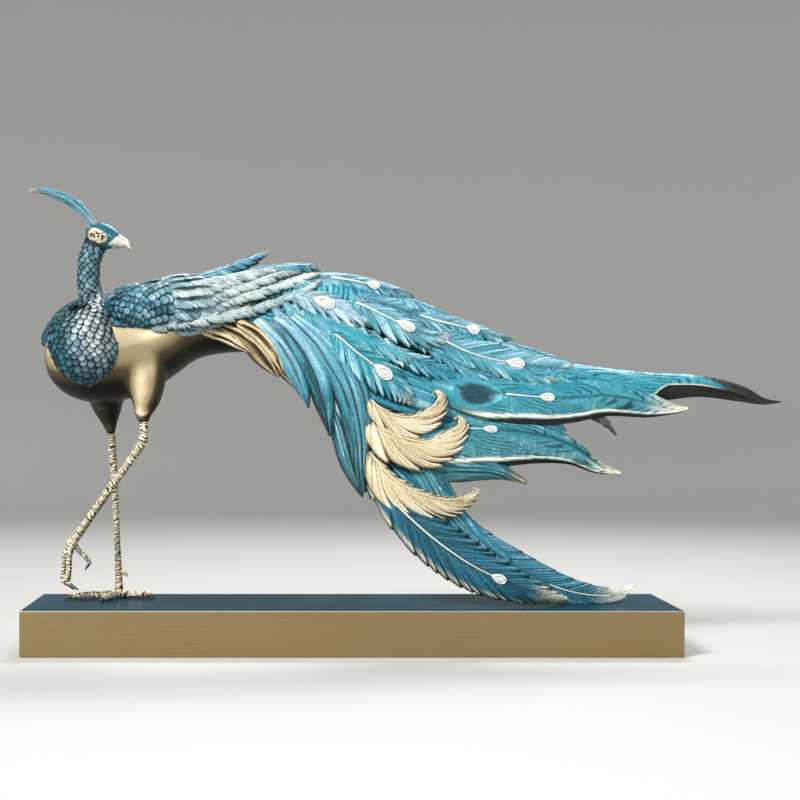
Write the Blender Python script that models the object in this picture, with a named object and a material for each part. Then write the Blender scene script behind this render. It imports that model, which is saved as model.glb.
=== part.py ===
"""Long-tailed bird statue on a rectangular plinth.

The origin is the centre of the plinth's underside. +X runs towards the end of the tail, +Y away
from the side that is looked at, +Z up. The bird stands on one foot and rests the foot of its
tail on the plinth. It is one casting; the plinth is a separate block.
"""
import math

import bpy
import bmesh
from mathutils import Vector

# crest above the top of the plinth, in life and in the tables further down
BIRD_HEIGHT = 0.3518
TABLE_HEIGHT = 351.8
UNIT = BIRD_HEIGHT / TABLE_HEIGHT

# plinth
PLINTH_LENGTH = 0.542
PLINTH_DEPTH = 0.150
PLINTH_HEIGHT = 0.0382
PLINTH_EDGE = 0.0008

# air between the casting and the plinth it stands on
STANDING_GAP = 0.0003

# least half width of a rounded form and of a feather
THINNEST = 0.0003
THINNEST_FEATHER = 0.0005

# facets round the rounded forms, and steps along them
BODY_SIDES = 16
WING_SIDES = 10
NECK_SIDES = 10
LEG_SIDES = 8
TOE_SIDES = 6
BODY_STEPS = 13
LIMB_STEPS = 9
TOE_STEPS = 5

# steps along a feather beyond its number of stations, and the half width from which it
# gets a fuller section
EXTRA_STEPS = 1
WIDE_FEATHER = 0.014

# facets the finished casting may have
MOST_FACETS = 9400

# Feathers: tilt of the face at root and tip in degrees (0 faces the viewer, 90 faces up,
# 180 faces the back), rise of the middle and thickness, then stations along the quill as
# x, y, z and half width. All lengths in the tables are in table units, one millimetre at
# full size, and z is measured from the top of the plinth.
FEATHERS = {
    "train_core_a": ((35, 25, 5, 13), (
        (-109.4, 16.3, 248, 17.2), (-68.1, 12.9, 242.7, 29.2), (-16.6, 11, 230.6, 42.9),
        (43.3, 8.3, 204.8, 48), (94.9, 10, 185.1, 42.9), (146.5, 11.8, 175.7, 34.3),
        (194.7, 18.9, 175.8, 22.4), (225.2, 21.2, 175.8, 6.9),
    )),
    "train_core_b": ((25, 15, 5, 12), (
        (-69.7, 8, 239.1, 12), (-26.9, 3.5, 216.7, 30.7), (10.5, 0.2, 182.5, 34.1),
        (39.4, -2, 145, 30.6), (60.1, -10.9, 106.1, 21.2), (86.7, -18, 65.1, 16.9),
        (125.6, -24.9, 31.1, 11.8), (165.8, -25.6, 12.6, 5),
    )),
    "plume_far_top": ((40, -28, 5, 7), (
        (129.1, 9.2, 204.8, 10.3), (181, 13.3, 192.1, 15.5), (224.3, 15.4, 185.2, 15.5),
        (260.7, 16.8, 183.5, 12.9), (300.4, 17.6, 184.4, 9.5), (334.9, 17.8, 178.4, 7.3),
        (355.3, 16.8, 171.5, 3.4), (372.4, 19.6, 170.6, 0.5),
    )),
    "plume_wavy": ((25, 5, 5, 8), (
        (63.8, -6.5, 190.9, 11.9), (97.9, -5, 179, 18.7), (136.3, -3.6, 173.9, 22.1),
        (179.4, 1.1, 171.4, 20.5), (218.9, 8.1, 174, 16.3), (255.9, 9.3, 168, 11.1),
        (276.3, 8.7, 165, 5.1), (290.2, 9.4, 165.4, 1.4),
    )),
    "plume_low": ((22, 0, 5, 8), (
        (42.3, -12.1, 141.7, 10.2), (80.4, -11.1, 138.3, 20.3), (118.6, -10.2, 136.6, 22),
        (156.9, -8.9, 134.9, 17), (186.7, -8.1, 128.1, 11), (209.4, -9, 115.4, 5.5),
        (229.7, -9.3, 110.3, 1),
    )),
    "plume_small": ((15, 0, 4, 8), (
        (42.2, -14.8, 125.7, 10.1), (80.5, -10, 121.3, 18.6), (114.4, -9.7, 116.3, 12.7),
        (133.9, -9.7, 109.5, 5.9), (150, -9.8, 101.9, 1.4),
    )),
    "tooth": ((10, 0, 0, 5), (
        (204.4, 8.6, 162, 6), (217.8, 6.7, 154.3, 4.3), (228.4, 3.7, 141.5, 0.7),
    )),
    "web_mid": ((20, 10, 0, 8), (
        (140.8, -1.3, 159.4, 17), (166.3, -1, 150.1, 13.6), (180.8, -1.1, 143.3, 6.8),
        (185.9, -1.3, 139.9, 2.6),
    )),
    "tail_top_1": ((55, 45, 4, 7), (
        (-49.2, 12.9, 270.2, 10.3), (-20.8, 18.2, 274, 11.2), (5.2, 21, 271.6, 12.1),
        (31, 20.6, 265.5, 9.5), (46.5, 19.9, 261.2, 5.2), (57, 21.6, 261.3, 0.9),
    )),
    "tail_top_2": ((45, 35, 4, 6), (
        (2.3, 12.3, 259.9, 8.6), (39.2, 11.5, 250.4, 13.7), (73.7, 14.6, 239.4, 12.9),
        (104.2, 19.3, 231.8, 10.3), (128.3, 18.9, 224, 6), (142.6, 23.1, 225.1, 1),
    )),
    "tail_top_3": ((38, 30, 4, 7), (
        (68.8, 5, 227.8, 8.5), (98.9, 6.8, 215, 17.1), (133.1, 7.2, 205.6, 17.1),
        (168, 12.1, 200.6, 12.9), (188.2, 15.4, 197.3, 6.9), (200.9, 20.1, 199.1, 0.9),
    )),
    "tail_top_4": ((32, 25, 4, 6), (
        (102.6, 0.5, 206.3, 5.1), (128.1, -0.2, 196.9, 9.4), (153.8, 1.1, 190.1, 8.5),
        (169.4, 2.9, 187.6, 4.3), (179.2, 5.7, 189.4, 0.9),
    )),
    "tail_eye_1": ((35, 30, 5, 6), (
        (-45.7, 2, 257.5, 6.8), (-26.9, 2.1, 254.1, 12.8), (-8.2, 1.3, 247.3, 12.8),
        (7.1, 0.4, 241.3, 8.5), (19.1, 0.4, 238.7, 1.7),
    )),
    "tail_eye_2": ((35, 28, 5, 6), (
        (0.4, 2, 253.3, 7.7), (24.1, -0.8, 242.1, 14.5), (47, -3.2, 230.9, 15.3),
        (68.4, -1.8, 223.3, 10.2), (80.6, 2.6, 224.3, 6), (87.7, 5.9, 226.1, 1.3),
    )),
    "tail_mid_1": ((30, 25, 4, 6), (
        (-42.3, -1.8, 244.6, 11.9), (-8.3, -3.6, 229.2, 15.3), (21.4, -4.9, 217.2, 12.7),
        (46.8, -6.1, 206.1, 7.6), (56.1, -7.3, 197.6, 0.8),
    )),
    "tail_eye_3": ((28, 20, 5, 9), (
        (-16.8, -6.6, 227.4, 10.2), (5.2, -9.4, 208.6, 16.9), (27.1, -11.2, 192.5, 17.8),
        (44, -12.5, 178.1, 11.8), (53.2, -13.3, 167.9, 1.7),
    )),
    "drape_1": ((15, 0, 3, 7), (
        (-81.5, 0.7, 240.4, 6.8), (-63.6, -3.9, 222.4, 8.5), (-49.1, -7.2, 201, 8.5),
        (-39.8, -8.9, 181.5, 5.9), (-34.7, -9.8, 165.4, 0.8),
    )),
    "drape_2": ((15, 0, 3, 8), (
        (-66.1, -2.1, 242, 6.8), (-44, -7.4, 220.5, 10.2), (-28.8, -10.6, 194.2, 11),
        (-21.2, -12.5, 167.9, 8.5), (-17, -16.9, 141.8, 1),
    )),
    "drape_5": ((10, 0, 2, 7), (
        (-20.2, -6.1, 173.9, 5.1), (-10.9, -8.2, 148.4, 6.8), (-3.5, -16.1, 122.3, 6.8),
        (4.8, -22.1, 101.5, 3.8), (10.6, -25.1, 90.7, 0.8),
    )),
    "drape_3": ((15, 0, 4, 9), (
        (-50.8, -3.1, 242.8, 7.7), (-25.3, -7.9, 218.8, 11), (-6.8, -11.3, 190.8, 12.7),
        (3.3, -13.5, 162, 11.8), (7.4, -18.4, 134.2, 9.3), (8.5, -25.7, 111.7, 5),
        (10, -31.3, 93.4, 1),
    )),
    "drape_4": ((18, 5, 3, 7), (
        (-33.8, -6.2, 233.3, 5.9), (-10.1, -9.6, 211.1, 9.3), (6.7, -12.6, 184.8, 8.5),
        (14.3, -14.5, 159.5, 5.9), (15.8, -18.6, 135, 1.3),
    )),
    "gold_curl_1": ((20, 10, 3, 5), (
        (8.6, -8.3, 177.3, 3.4), (23.4, -18.3, 161.2, 7.6), (40.3, -18.5, 153.6, 8.8),
        (57.2, -18.2, 154, 9.3), (70.8, -16.6, 162.8, 7.2), (76.4, -14.8, 173, 3.8),
        (73.4, -14.2, 178.9, 2), (69.2, -15.1, 176.4, 0.7),
    )),
    "gold_curl_2": ((18, 8, 3, 5), (
        (8.5, -10.6, 158.6, 5.1), (24.2, -20.4, 142.6, 10.9), (41.8, -22, 134.2, 12.2),
        (63.8, -20.2, 130.9, 11.8), (81.5, -19, 138.4, 10.1), (93, -17.7, 149.4, 5.1),
        (92.2, -16.8, 156.9, 2.2), (87.6, -17.1, 156.1, 0.7),
    )),
    "gold_curl_3": ((15, 5, 3, 5), (
        (9.2, -13.9, 132.4, 5.1), (21.3, -28.8, 111.8, 10.9), (36.3, -32, 98.5, 11.3),
        (57.9, -33, 88.5, 10), (79.9, -29.1, 84.5, 8), (97, -25.8, 88.2, 5.5),
        (106.1, -22.4, 95.6, 2.4), (102.8, -21.9, 98.1, 0.7),
    )),
    "train_foot_back": ((20, 0, -2, 9), (
        (38.2, -9.4, 121.3, 15.3), (65.7, -16.9, 86.1, 16.9), (100.7, -21.8, 51.8, 17.7),
        (139.8, -25.2, 28.6, 16.8), (180.1, -18.9, 12, 12.6), (211.8, -10, 6.2, 8.5),
        (231.3, -4.6, 8.2, 5.1), (242.1, -0.9, 15.5, 0.9),
    )),
    "train_foot_front": ((10, 0, 5, 8), (
        (16.5, -23.7, 106.6, 6.7), (39.7, -30, 81.7, 15.9), (69.6, -33.6, 55.1, 20.9),
        (102.8, -35.7, 32.7, 20.8), (137.7, -37.1, 17, 15), (164.5, -36.2, 8.6, 7.5),
        (180.5, -34.8, 6, 1.7),
    )),
    "train_foot_fill": ((15, 5, 0, 10), (
        (10.3, -6.2, 146.7, 10.2), (33.7, -15.4, 113, 16.9), (65.4, -20.7, 83.7, 20.2),
        (97, -25.6, 50.4, 18.5), (128.5, -29.1, 29.7, 11.7),
    )),
    "leaf_behind": ((15, 5, 3, 7), (
        (38.2, -10.2, 128.1, 10.2), (59.2, -13, 113, 13.5), (73.5, -13.9, 99.5, 7.6),
        (84.4, -15.1, 87.7, 1.7),
    )),
    "under_tail_1": ((-10, -10, 2, 5), (
        (-127.3, -4, 231.7, 3.4), (-108.6, -4, 226.6, 5.1), (-95, -4, 219.8, 4.3),
        (-84.8, -4, 213, 0.9),
    )),
    "under_tail_2": ((-5, -5, 3, 6), (
        (-110.4, -2, 235.2, 4.3), (-89.1, -2, 225, 7.7), (-73.8, -2, 208, 7.7),
        (-60.2, -2, 191.8, 1.3),
    )),
    "under_tail_3": ((0, -5, 3, 6), (
        (-96.6, -6, 238.4, 4.2), (-78, -6, 228.2, 6.8), (-64.4, -6, 212.1, 6.8),
        (-55.9, -6, 194.3, 1.3),
    )),
    "under_tail_4": ((0, -5, 2, 5), (
        (-74.7, 2, 214.9, 4.3), (-57.7, 2, 199.5, 6), (-45.7, 2, 185, 3.4), (-38, 2, 174.8, 0.9),
    )),
    "wing_long_1": ((20, 20, 3, 5), (
        (-151.4, -25.8, 235.8, 6.7), (-118.3, -14.2, 239.7, 6.8), (-84.9, -1.4, 247.1, 6),
        (-50.9, 9, 258.8, 6), (-33.7, 9, 267.4, 4.3), (-24.3, 9, 275.1, 0.9),
    )),
    "wing_long_2": ((30, 30, 3, 5), (
        (-151.7, -20.2, 246.2, 6.7), (-118.6, -8.6, 250.2, 6.8), (-85, 5.1, 260.3, 6.8),
        (-50.9, 11, 271.8, 6), (-35.4, 11, 276.9, 4.3), (-25.1, 11, 280.4, 0.9),
    )),
    "wing_long_3": ((35, 35, 3, 5), (
        (-155.9, -20.8, 253.7, 6.7), (-122.8, -9.2, 257.8, 6.8), (-89.3, 4.5, 267.9, 6.8),
        (-59.4, 9, 277.7, 5.1), (-44.9, 9, 281.1, 0.9),
    )),
    "wing_long_4": ((42, 42, 3, 5), (
        (-156, -19.4, 260.5, 5.9), (-127, -9.4, 263.7, 6.8), (-97.8, 2.1, 271.2, 6),
        (-74.8, 8, 279.3, 4.3), (-62, 8, 282.7, 0.9),
    )),
    "wing_long_5": ((50, 50, 3, 5), (
        (-156.1, -18.3, 266.5, 5.1), (-127.1, -8.6, 268.8, 5.9), (-102, 1, 274.5, 5.1),
        (-85.1, 7, 279.2, 3.4), (-74.8, 7, 282.7, 0.9),
    )),
    "wing_top_1": ((50, 35, 3, 5), (
        (-140.2, -1.6, 271.8, 6), (-115.9, 8, 278.4, 7.7), (-94.8, 17, 286.4, 7.3),
        (-80.2, 17, 293.3, 5.6), (-69, 17, 299.3, 0.9),
    )),
    "wing_top_2": ((50, 40, 3, 6), (
        (-114.8, 2.7, 267.8, 8.5), (-85.3, 15, 278.1, 10.3), (-56.1, 15, 283.2, 8.6),
        (-36.3, 15, 284.5, 5.6), (-24.2, 15, 283.7, 1.3),
    )),
    "wing_mid_1": ((15, 15, 3, 5), (
        (-180, -34.1, 240.5, 6.7), (-155.4, -27.5, 237.4, 7.5), (-128.2, -18.6, 238.7, 6.7),
        (-108.3, -11.5, 241.5, 1.7),
    )),
    "wing_mid_2": ((25, 25, 3, 5), (
        (-177.5, -34.3, 248.8, 7.5), (-153, -27.1, 247.5, 8.4), (-128.2, -18.7, 249.6, 6.7),
        (-111.7, -12, 254.2, 1.7),
    )),
    "wing_mid_3": ((35, 35, 3, 5), (
        (-177.7, -31.6, 256.5, 7.5), (-159.7, -25.9, 256.8, 7.6), (-139.2, -18.8, 258.9, 5.9),
        (-123.5, -12.4, 263.5, 1.7),
    )),
    "wing_mid_4": ((45, 45, 3, 5), (
        (-177.9, -29.5, 262.4, 6.7), (-159.9, -23.2, 264.5, 6.7), (-141, -16.3, 267.5, 5.1),
        (-124.5, -9.3, 273, 1.7),
    )),
    "crest_1": ((0, 0, 0, 3.2), (
        (-213, -14, 316.6, 1.9), (-230.7, -14, 336.9, 2.3), (-247.6, -14, 347, 2.4),
        (-261.1, -14, 350.4, 2.1), (-273, -14, 348.7, 0.6),
    )),
    "crest_2": ((0, 0, 0, 3.2), (
        (-213.4, -10, 316.2, 1.9), (-227.8, -10, 330.6, 2.1), (-240.5, -10, 339.9, 2.2),
        (-255.7, -10, 345.8, 1.9), (-266.8, -10, 347.5, 0.6),
    )),
    "crest_3": ((0, 0, 0, 3), (
        (-213.2, -12, 317.7, 1.9), (-226.7, -12, 337.1, 1.9), (-240.3, -12, 345.6, 1.9),
        (-253.8, -12, 350.7, 0.8),
    )),
    "far_long_1": ((160, 160, 3, 5), (
        (-169.3, 59, 231.7, 8.1), (-125, 54.4, 235, 8.1), (-89.7, 49.4, 241.8, 7.1),
        (-54.5, 42.9, 252.9, 7), (-37.1, 38.7, 261.4, 5), (-27.5, 35.4, 269, 1),
    )),
    "far_long_2": ((150, 150, 3, 5), (
        (-168.9, 53.7, 242, 8.1), (-124.7, 49, 245.3, 8.1), (-89.5, 43.2, 254.7, 8),
        (-54.5, 36.7, 265.6, 7), (-38.8, 33.8, 270.7, 5), (-28.4, 31.8, 274, 1),
    )),
    "far_long_3": ((145, 145, 3, 5), (
        (-173.3, 53.5, 249.9, 8.1), (-129.1, 48.9, 253.2, 8.1), (-93.9, 43, 262.5, 8),
        (-63.2, 37.5, 271.8, 6), (-48.4, 35.1, 275.1, 1),
    )),
    "far_long_4": ((138, 138, 3, 5), (
        (-173.2, 52.2, 256.9, 7.1), (-133.5, 48.3, 259.3, 8.1), (-102.6, 43.6, 266, 7),
        (-78.9, 39.2, 273.6, 5), (-65.8, 37, 277, 1),
    )),
    "far_mid_1": ((165, 165, 3, 5), (
        (-200.4, 60.8, 237.1, 8.1), (-164.9, 59.1, 233.5, 9.1), (-135.7, 56.5, 234.2, 8.1),
        (-114.4, 54, 236.8, 2),
    )),
    "far_mid_2": ((155, 155, 3, 5), (
        (-197.8, 61.8, 245.9, 9.1), (-162.3, 59.5, 244.1, 10.1), (-135.7, 56.9, 245.7, 8.1),
        (-118, 54.1, 250, 2),
    )),
    "far_mid_4": ((135, 135, 3, 5), (
        (-197.4, 57.3, 259.8, 8.1), (-169, 54.5, 261.4, 8.1), (-148.6, 52, 263.9, 6.1),
        (-130.9, 49, 269, 2),
    )),
    "back_tail_1": ((150, 155, 4, 5), (
        (-55.2, 19.2, 258.5, 10.3), (-16.4, 19.9, 254.3, 17.2), (22.3, 19, 243, 17.2),
        (52.3, 15.9, 228.2, 10.3), (67.8, 16.1, 219.6, 1.7),
    )),
    "back_tail_2": ((155, 160, 4, 5), (
        (-50.9, 10, 228, 12), (-16.6, 7.3, 206.5, 18.8), (13.3, 4.9, 179.1, 17.1),
        (32.8, 3.5, 155.2, 9.4), (39.6, 2.8, 139.8, 1.7),
    )),
    "back_tail_3": ((150, 160, 4, 5), (
        (39.3, 13.6, 223.9, 10.3), (78, 14.4, 206.7, 18.9), (121.1, 15.6, 193.8, 18.9),
        (160.1, 17.7, 185.3, 10.3), (178.3, 19.1, 181, 1.7),
    )),
    "back_tail_4": ((160, 170, 4, 5), (
        (17.5, 5.6, 185.1, 12), (51.7, 4.2, 162, 18.8), (85.9, 4.7, 144.9, 17.1),
        (120, 4.4, 131.2, 8.5), (137.1, 4.3, 125.3, 1.7),
    )),
    "back_tail_5": ((160, 170, 4, 5), (
        (-25.2, 4, 176.5, 8.5), (2, -0.5, 138.1, 14.5), (29.6, -12, 96, 15.2),
        (58.7, -19.7, 62.6, 9.3), (75.5, -21.1, 45.9, 1.7),
    )),
}

# Rounded forms: stations as x, y, z, half height across the path and half depth.
FORMS = {
    "body": (
        (-257.2, -12, 211.1, 3.4, 4), (-251.1, -13, 211, 24.5, 22), (-239.3, -13, 211.9, 37.2, 31),
        (-221.9, -10, 213.7, 44, 36), (-203.8, -4, 215.6, 45.1, 38), (-185.6, 2, 219.2, 42.7, 38),
        (-169, 8, 226.2, 38.5, 36), (-152.3, 14, 235, 35.2, 33), (-132.8, 20, 241.3, 32.8, 29),
        (-107.2, 26, 244.2, 31.2, 26), (-81.3, 28, 241.7, 27.7, 22), (-55.3, 27, 234.7, 15.6, 12),
    ),
    "bib": (
        (-256.5, -17, 218.5, 2.5, 3), (-250.5, -18, 219.3, 16, 19), (-239.4, -19, 220.1, 27.8, 30),
        (-222.6, -19, 221.8, 36.2, 37), (-205.8, -18, 222.7, 33.7, 34),
        (-195, -17, 222.7, 22.8, 24), (-188.3, -16, 222.8, 2.5, 5),
    ),
    "wing_near": (
        (-206.8, -25, 253.5, 2.5, 5), (-198.5, -24, 250.2, 11.8, 20),
        (-185.4, -20, 247.9, 18.5, 24), (-164.8, -14, 249, 21.5, 23),
        (-142.5, -5, 251.2, 21.7, 19), (-120.9, 5, 254.3, 17.9, 13), (-98.1, 12, 258.1, 12, 9),
        (-75, 17, 263.6, 4.3, 5),
    ),
    "wing_far": (
        (-262.6, 10, 220.3, 1.7, 3), (-258.7, 13, 223, 8.6, 8), (-249.3, 20, 228.4, 14.7, 12),
        (-236.6, 30, 235.7, 17.3, 14), (-216.8, 40, 244.9, 17.5, 15),
        (-182.6, 48, 253.2, 17.5, 14), (-147.6, 50, 260.3, 16.7, 12),
        (-112.4, 48, 262.8, 14.9, 10), (-77.3, 43, 263.4, 8.7, 7),
    ),
    "ridge": (
        (-98.5, 24, 256.2, 15.6, 13), (-55.3, 22, 265.6, 17.3, 13), (-12.1, 20, 260.3, 17.2, 13),
        (30.9, 18, 245.5, 16.4, 12), (78.1, 16, 225.7, 14.6, 10), (129.3, 12, 206.6, 11.2, 8),
        (180.8, 12, 192.9, 7.7, 6), (225.6, 13, 185.2, 3.4, 3),
    ),
    "head": (
        (-223.3, -12, 312.6, 2.5, 3), (-220.8, -12, 312.6, 7.6, 7), (-214.9, -12, 310.9, 11.4, 10),
        (-208.1, -12, 310, 11.4, 10.5), (-201.3, -12, 308.4, 8.9, 8.5),
        (-196.3, -12, 306.7, 5.9, 6), (-192.9, -12, 305.8, 3.9, 4.2),
    ),
    "beak": (
        (-201.3, -12, 305.8, 6.3, 5.5), (-195.4, -12, 305.8, 5.4, 5),
        (-190.3, -12, 304.6, 3.7, 3.6), (-187, -12, 301.6, 1.9, 2), (-185.3, -12, 299.1, 0.4, 0.5),
    ),
    "neck": (
        (-216.7, -19, 226, 23.6, 33), (-216.1, -17, 242.1, 16.9, 28),
        (-217.6, -14, 253.3, 11.8, 17), (-219.9, -12.5, 263.5, 9.7, 10.5),
        (-221.2, -12, 275.4, 9.3, 9.5), (-220.4, -12, 288.9, 9.3, 9.5),
        (-217.4, -12, 299.1, 9.7, 9.5), (-214, -12, 307.5, 10.2, 9.5),
        (-212.3, -12, 314.3, 6.8, 6),
    ),
    "thigh_near": (
        (-177.7, -12, 212.8, 20.3, 19), (-173.2, -15, 190.7, 17.7, 18),
        (-172.5, -18, 173.8, 13.1, 14), (-174.1, -20, 162, 8, 9), (-174.1, -20, 152.7, 4, 4.6),
    ),
    "thigh_far": (
        (-208, 4, 191, 18.8, 18), (-208, 8, 174.8, 15.8, 16), (-207, 11, 162.9, 11.6, 12),
        (-205.5, 13, 151.7, 6.4, 7), (-204.7, 14, 143.1, 3.6, 4),
    ),
    "leg_near": (
        (-174.1, -20, 158.6, 3.5, 3.8), (-173.6, -21, 146.9, 3.4, 3.8),
        (-175.2, -21, 136.8, 4, 4.3), (-184, -17, 123.2, 3.5, 3.8), (-198, -12, 104.5, 3.3, 3.6),
        (-215.5, -6, 80.5, 3.2, 3.5), (-229.4, -3, 60.8, 3.4, 3.8), (-235.9, -2, 51.4, 3.9, 4.4),
    ),
    "leg_far": (
        (-204.7, 14, 148.3, 3.4, 3.8), (-204.1, 17, 129.3, 2.9, 3.2),
        (-202.8, 21, 103.3, 2.6, 2.9), (-201.5, 26, 72.9, 2.6, 2.9), (-200.6, 30, 42.3, 2.6, 2.9),
        (-200, 33, 20.4, 3, 3.3), (-199.7, 34, 9, 3.5, 4), (-199.7, 34, 4.6, 3.8, 4.4),
    ),
    "toe_up_a": (
        (-235.5, -2, 52.2, 3.6, 4), (-238.5, -5, 40.5, 2.7, 3.2), (-238.7, -7, 26.2, 2.5, 3),
        (-240.7, -8, 19.5, 2.5, 2.8), (-235.5, -9, 14.5, 1.5, 1.8), (-229.6, -9, 11.1, 0.4, 0.5),
    ),
    "toe_up_b": (
        (-237.4, 0, 52.1, 3.1, 3.4), (-242.8, 2, 40, 2.4, 2.8), (-244.2, 3, 27.1, 2.2, 2.6),
        (-244.6, 3, 18.6, 2.2, 2.4), (-240.3, 3, 14.3, 1.3, 1.5), (-235.2, 3, 10.1, 0.4, 0.5),
    ),
    "toe_up_c": (
        (-235.5, -2, 51.4, 2.6, 3), (-230, 2, 42.6, 2, 2.4), (-224.3, 5, 36.4, 1.9, 2.2),
        (-222.7, 6, 32.9, 1.7, 2), (-226.2, 6, 26.9, 0.5, 0.6),
    ),
    "toe_left": (
        (-200.5, 34, 4.3, 4, 4), (-212.4, 31, 3.5, 3.2, 3.2), (-222.6, 29, 3.6, 3.3, 3.3),
        (-232.9, 28, 2.9, 2.6, 2.6), (-241.5, 27, 2.1, 1.8, 1.8), (-246.5, 26, 0.9, 0.6, 0.6),
    ),
    "toe_right": (
        (-199.7, 34, 4.3, 4, 4), (-190.3, 36, 3.3, 3, 3), (-180.8, 37, 3.4, 3.1, 3.1),
        (-173.9, 38, 2.7, 2.4, 2.4), (-168.7, 39, 0.9, 0.6, 0.6),
    ),
    "toe_near": (
        (-200.5, 34, 4.1, 3.8, 3.8), (-204.8, 24, 3.3, 3, 3), (-208.1, 14, 3.3, 3, 3),
        (-210.8, 6, 2.5, 2.2, 2.2), (-212.7, 0, 0.9, 0.6, 0.6),
    ),
    "toe_back": (
        (-199.7, 34, 3.9, 3.6, 3.6), (-196.1, 43, 2.9, 2.6, 2.6), (-193.2, 50, 2.5, 2.2, 2.2),
        (-191.1, 56, 0.9, 0.6, 0.6),
    ),
}

ORDER = ("body", "ridge", "bib", "neck", "head", "beak", "wing_near", "wing_far", "thigh_near", "thigh_far",
         "leg_near", "leg_far", "toe_up_a", "toe_up_b", "toe_up_c", "toe_left", "toe_right", "toe_near", "toe_back")
SIDE_COUNTS = {"body": BODY_SIDES, "bib": BODY_SIDES, "wing_near": WING_SIDES, "wing_far": WING_SIDES,
               "head": NECK_SIDES, "beak": LEG_SIDES, "neck": NECK_SIDES, "thigh_near": NECK_SIDES,
               "thigh_far": NECK_SIDES, "leg_near": LEG_SIDES, "leg_far": LEG_SIDES}
STEP_COUNTS = {"body": BODY_STEPS, "bib": BODY_STEPS, "wing_near": LIMB_STEPS, "wing_far": LIMB_STEPS,
               "head": LIMB_STEPS, "neck": LIMB_STEPS, "leg_near": LIMB_STEPS, "leg_far": LIMB_STEPS}


def smooth_path(stations, steps):
    """Points along a smooth curve through the stations, closer together where the stations are."""
    table = [[value * UNIT for value in station] for station in stations]
    for station in table:
        station[2] += PLINTH_HEIGHT
    first = [2 * a - b for a, b in zip(table[0], table[1])]
    last = [2 * a - b for a, b in zip(table[-1], table[-2])]
    padded = [first] + table + [last]
    spans = len(table) - 1
    path = []
    for step in range(steps + 1):
        place = spans * step / steps
        span = min(int(place), spans - 1)
        t = place - span
        p0, p1, p2, p3 = padded[span:span + 4]
        point = []
        for a, b, c, d in zip(p0, p1, p2, p3):
            curve = 2 * b + (c - a) * t + (2 * a - 5 * b + 4 * c - d) * t * t + (3 * b - a - 3 * c + d) * t ** 3
            point.append(0.5 * curve)
        path.append(point)
    return path


def directions(path):
    """Unit direction of travel at each point of a path."""
    points = [Vector(p[:3]) for p in path]
    found = []
    for i in range(len(points)):
        ahead = points[min(i + 1, len(points) - 1)]
        behind = points[max(i - 1, 0)]
        found.append((ahead - behind).normalized())
    return found


def skin(name, rings):
    """A closed mesh object through equal rings of points, with a flat face at each end."""
    mesh = bpy.data.meshes.new(name)
    work = bmesh.new()
    loops = [[work.verts.new(point) for point in ring] for ring in rings]
    count = len(loops[0])
    for low, high in zip(loops, loops[1:]):
        for i in range(count):
            j = (i + 1) % count
            work.faces.new((low[i], low[j], high[j], high[i]))
    work.faces.new(list(reversed(loops[0])))
    work.faces.new(loops[-1])
    bmesh.ops.triangulate(work, faces=work.faces[:])
    bmesh.ops.recalc_face_normals(work, faces=work.faces[:])
    work.to_mesh(mesh)
    work.free()
    obj = bpy.data.objects.new(name, mesh)
    bpy.context.scene.collection.objects.link(obj)
    return obj


def rounded(name, stations, sides, steps, flat):
    """A rounded form: elliptical rings across a path. Rings are set out from the depth axis, or from up."""
    path = smooth_path(stations, steps)
    rings = []
    for point, along in zip(path, directions(path)):
        reference = Vector((0, 0, 1)) if flat else Vector((0, 1, 0))
        side = (reference - along * reference.dot(along)).normalized()
        rise = along.cross(side)
        tall = max(point[3], THINNEST)
        deep = max(point[4], THINNEST)
        ring = []
        for i in range(sides):
            turn = 2 * math.pi * (i + 0.5) / sides
            ring.append(Vector(point[:3]) + rise * tall * math.cos(turn) + side * deep * math.sin(turn))
        rings.append(ring)
    return skin(name, rings)


def feather(name, form, stations):
    """A feather blade: a lens section with a raised middle swept along its quill."""
    tilt_root, tilt_tip, arch, thickness = form
    steps = len(stations) + EXTRA_STEPS
    path = smooth_path(stations, steps)
    widest = max(point[3] for point in path)
    inner = (0,)
    if widest > WIDE_FEATHER:
        inner = (-0.45, 0.45)
    rings = []
    for step, (point, along) in enumerate(zip(path, directions(path))):
        tilt = math.radians(tilt_root + (tilt_tip - tilt_root) * step / steps)
        facing = Vector((0, -math.cos(tilt), math.sin(tilt)))
        side = along.cross(facing).normalized()
        out = side.cross(along)
        half = max(point[3], THINNEST_FEATHER)
        fullness = min(1.0, half / (0.4 * widest))
        top, bottom = [], []
        for v in inner:
            middle = 1 - v * v
            base = Vector(point[:3]) + side * half * v + out * arch * UNIT * middle * fullness
            swell = thickness * UNIT * 0.5 * fullness * middle
            top.append(base + out * swell)
            bottom.append(base - out * swell)
        left = Vector(point[:3]) - side * half
        right = Vector(point[:3]) + side * half
        rings.append([left] + top + [right] + list(reversed(bottom)))
    return skin(name, rings)


def evaluated_copy(obj):
    """The mesh an object has once its modifiers are worked out."""
    graph = bpy.context.evaluated_depsgraph_get()
    graph.update()
    return bpy.data.meshes.new_from_object(obj.evaluated_get(graph))


def enclosed_volume(mesh):
    """Signed volume inside a closed mesh."""
    work = bmesh.new()
    work.from_mesh(mesh)
    volume = work.calc_volume(signed=True)
    work.free()
    return volume


def unite(target, tool):
    """Joins the tool's solid into the target's and removes the tool."""
    joint = target.modifiers.new("join", "BOOLEAN")
    joint.operation = "UNION"
    joint.solver = "EXACT"
    joint.object = tool
    before = enclosed_volume(target.data)
    result = evaluated_copy(target)
    if enclosed_volume(result) < before:
        print("second solver for", tool.name)
        joint.solver = "MANIFOLD"
        result = evaluated_copy(target)
    target.modifiers.remove(joint)
    old = target.data
    target.data = result
    bpy.data.meshes.remove(old)
    used = tool.data
    bpy.data.objects.remove(tool)
    bpy.data.meshes.remove(used)


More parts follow.
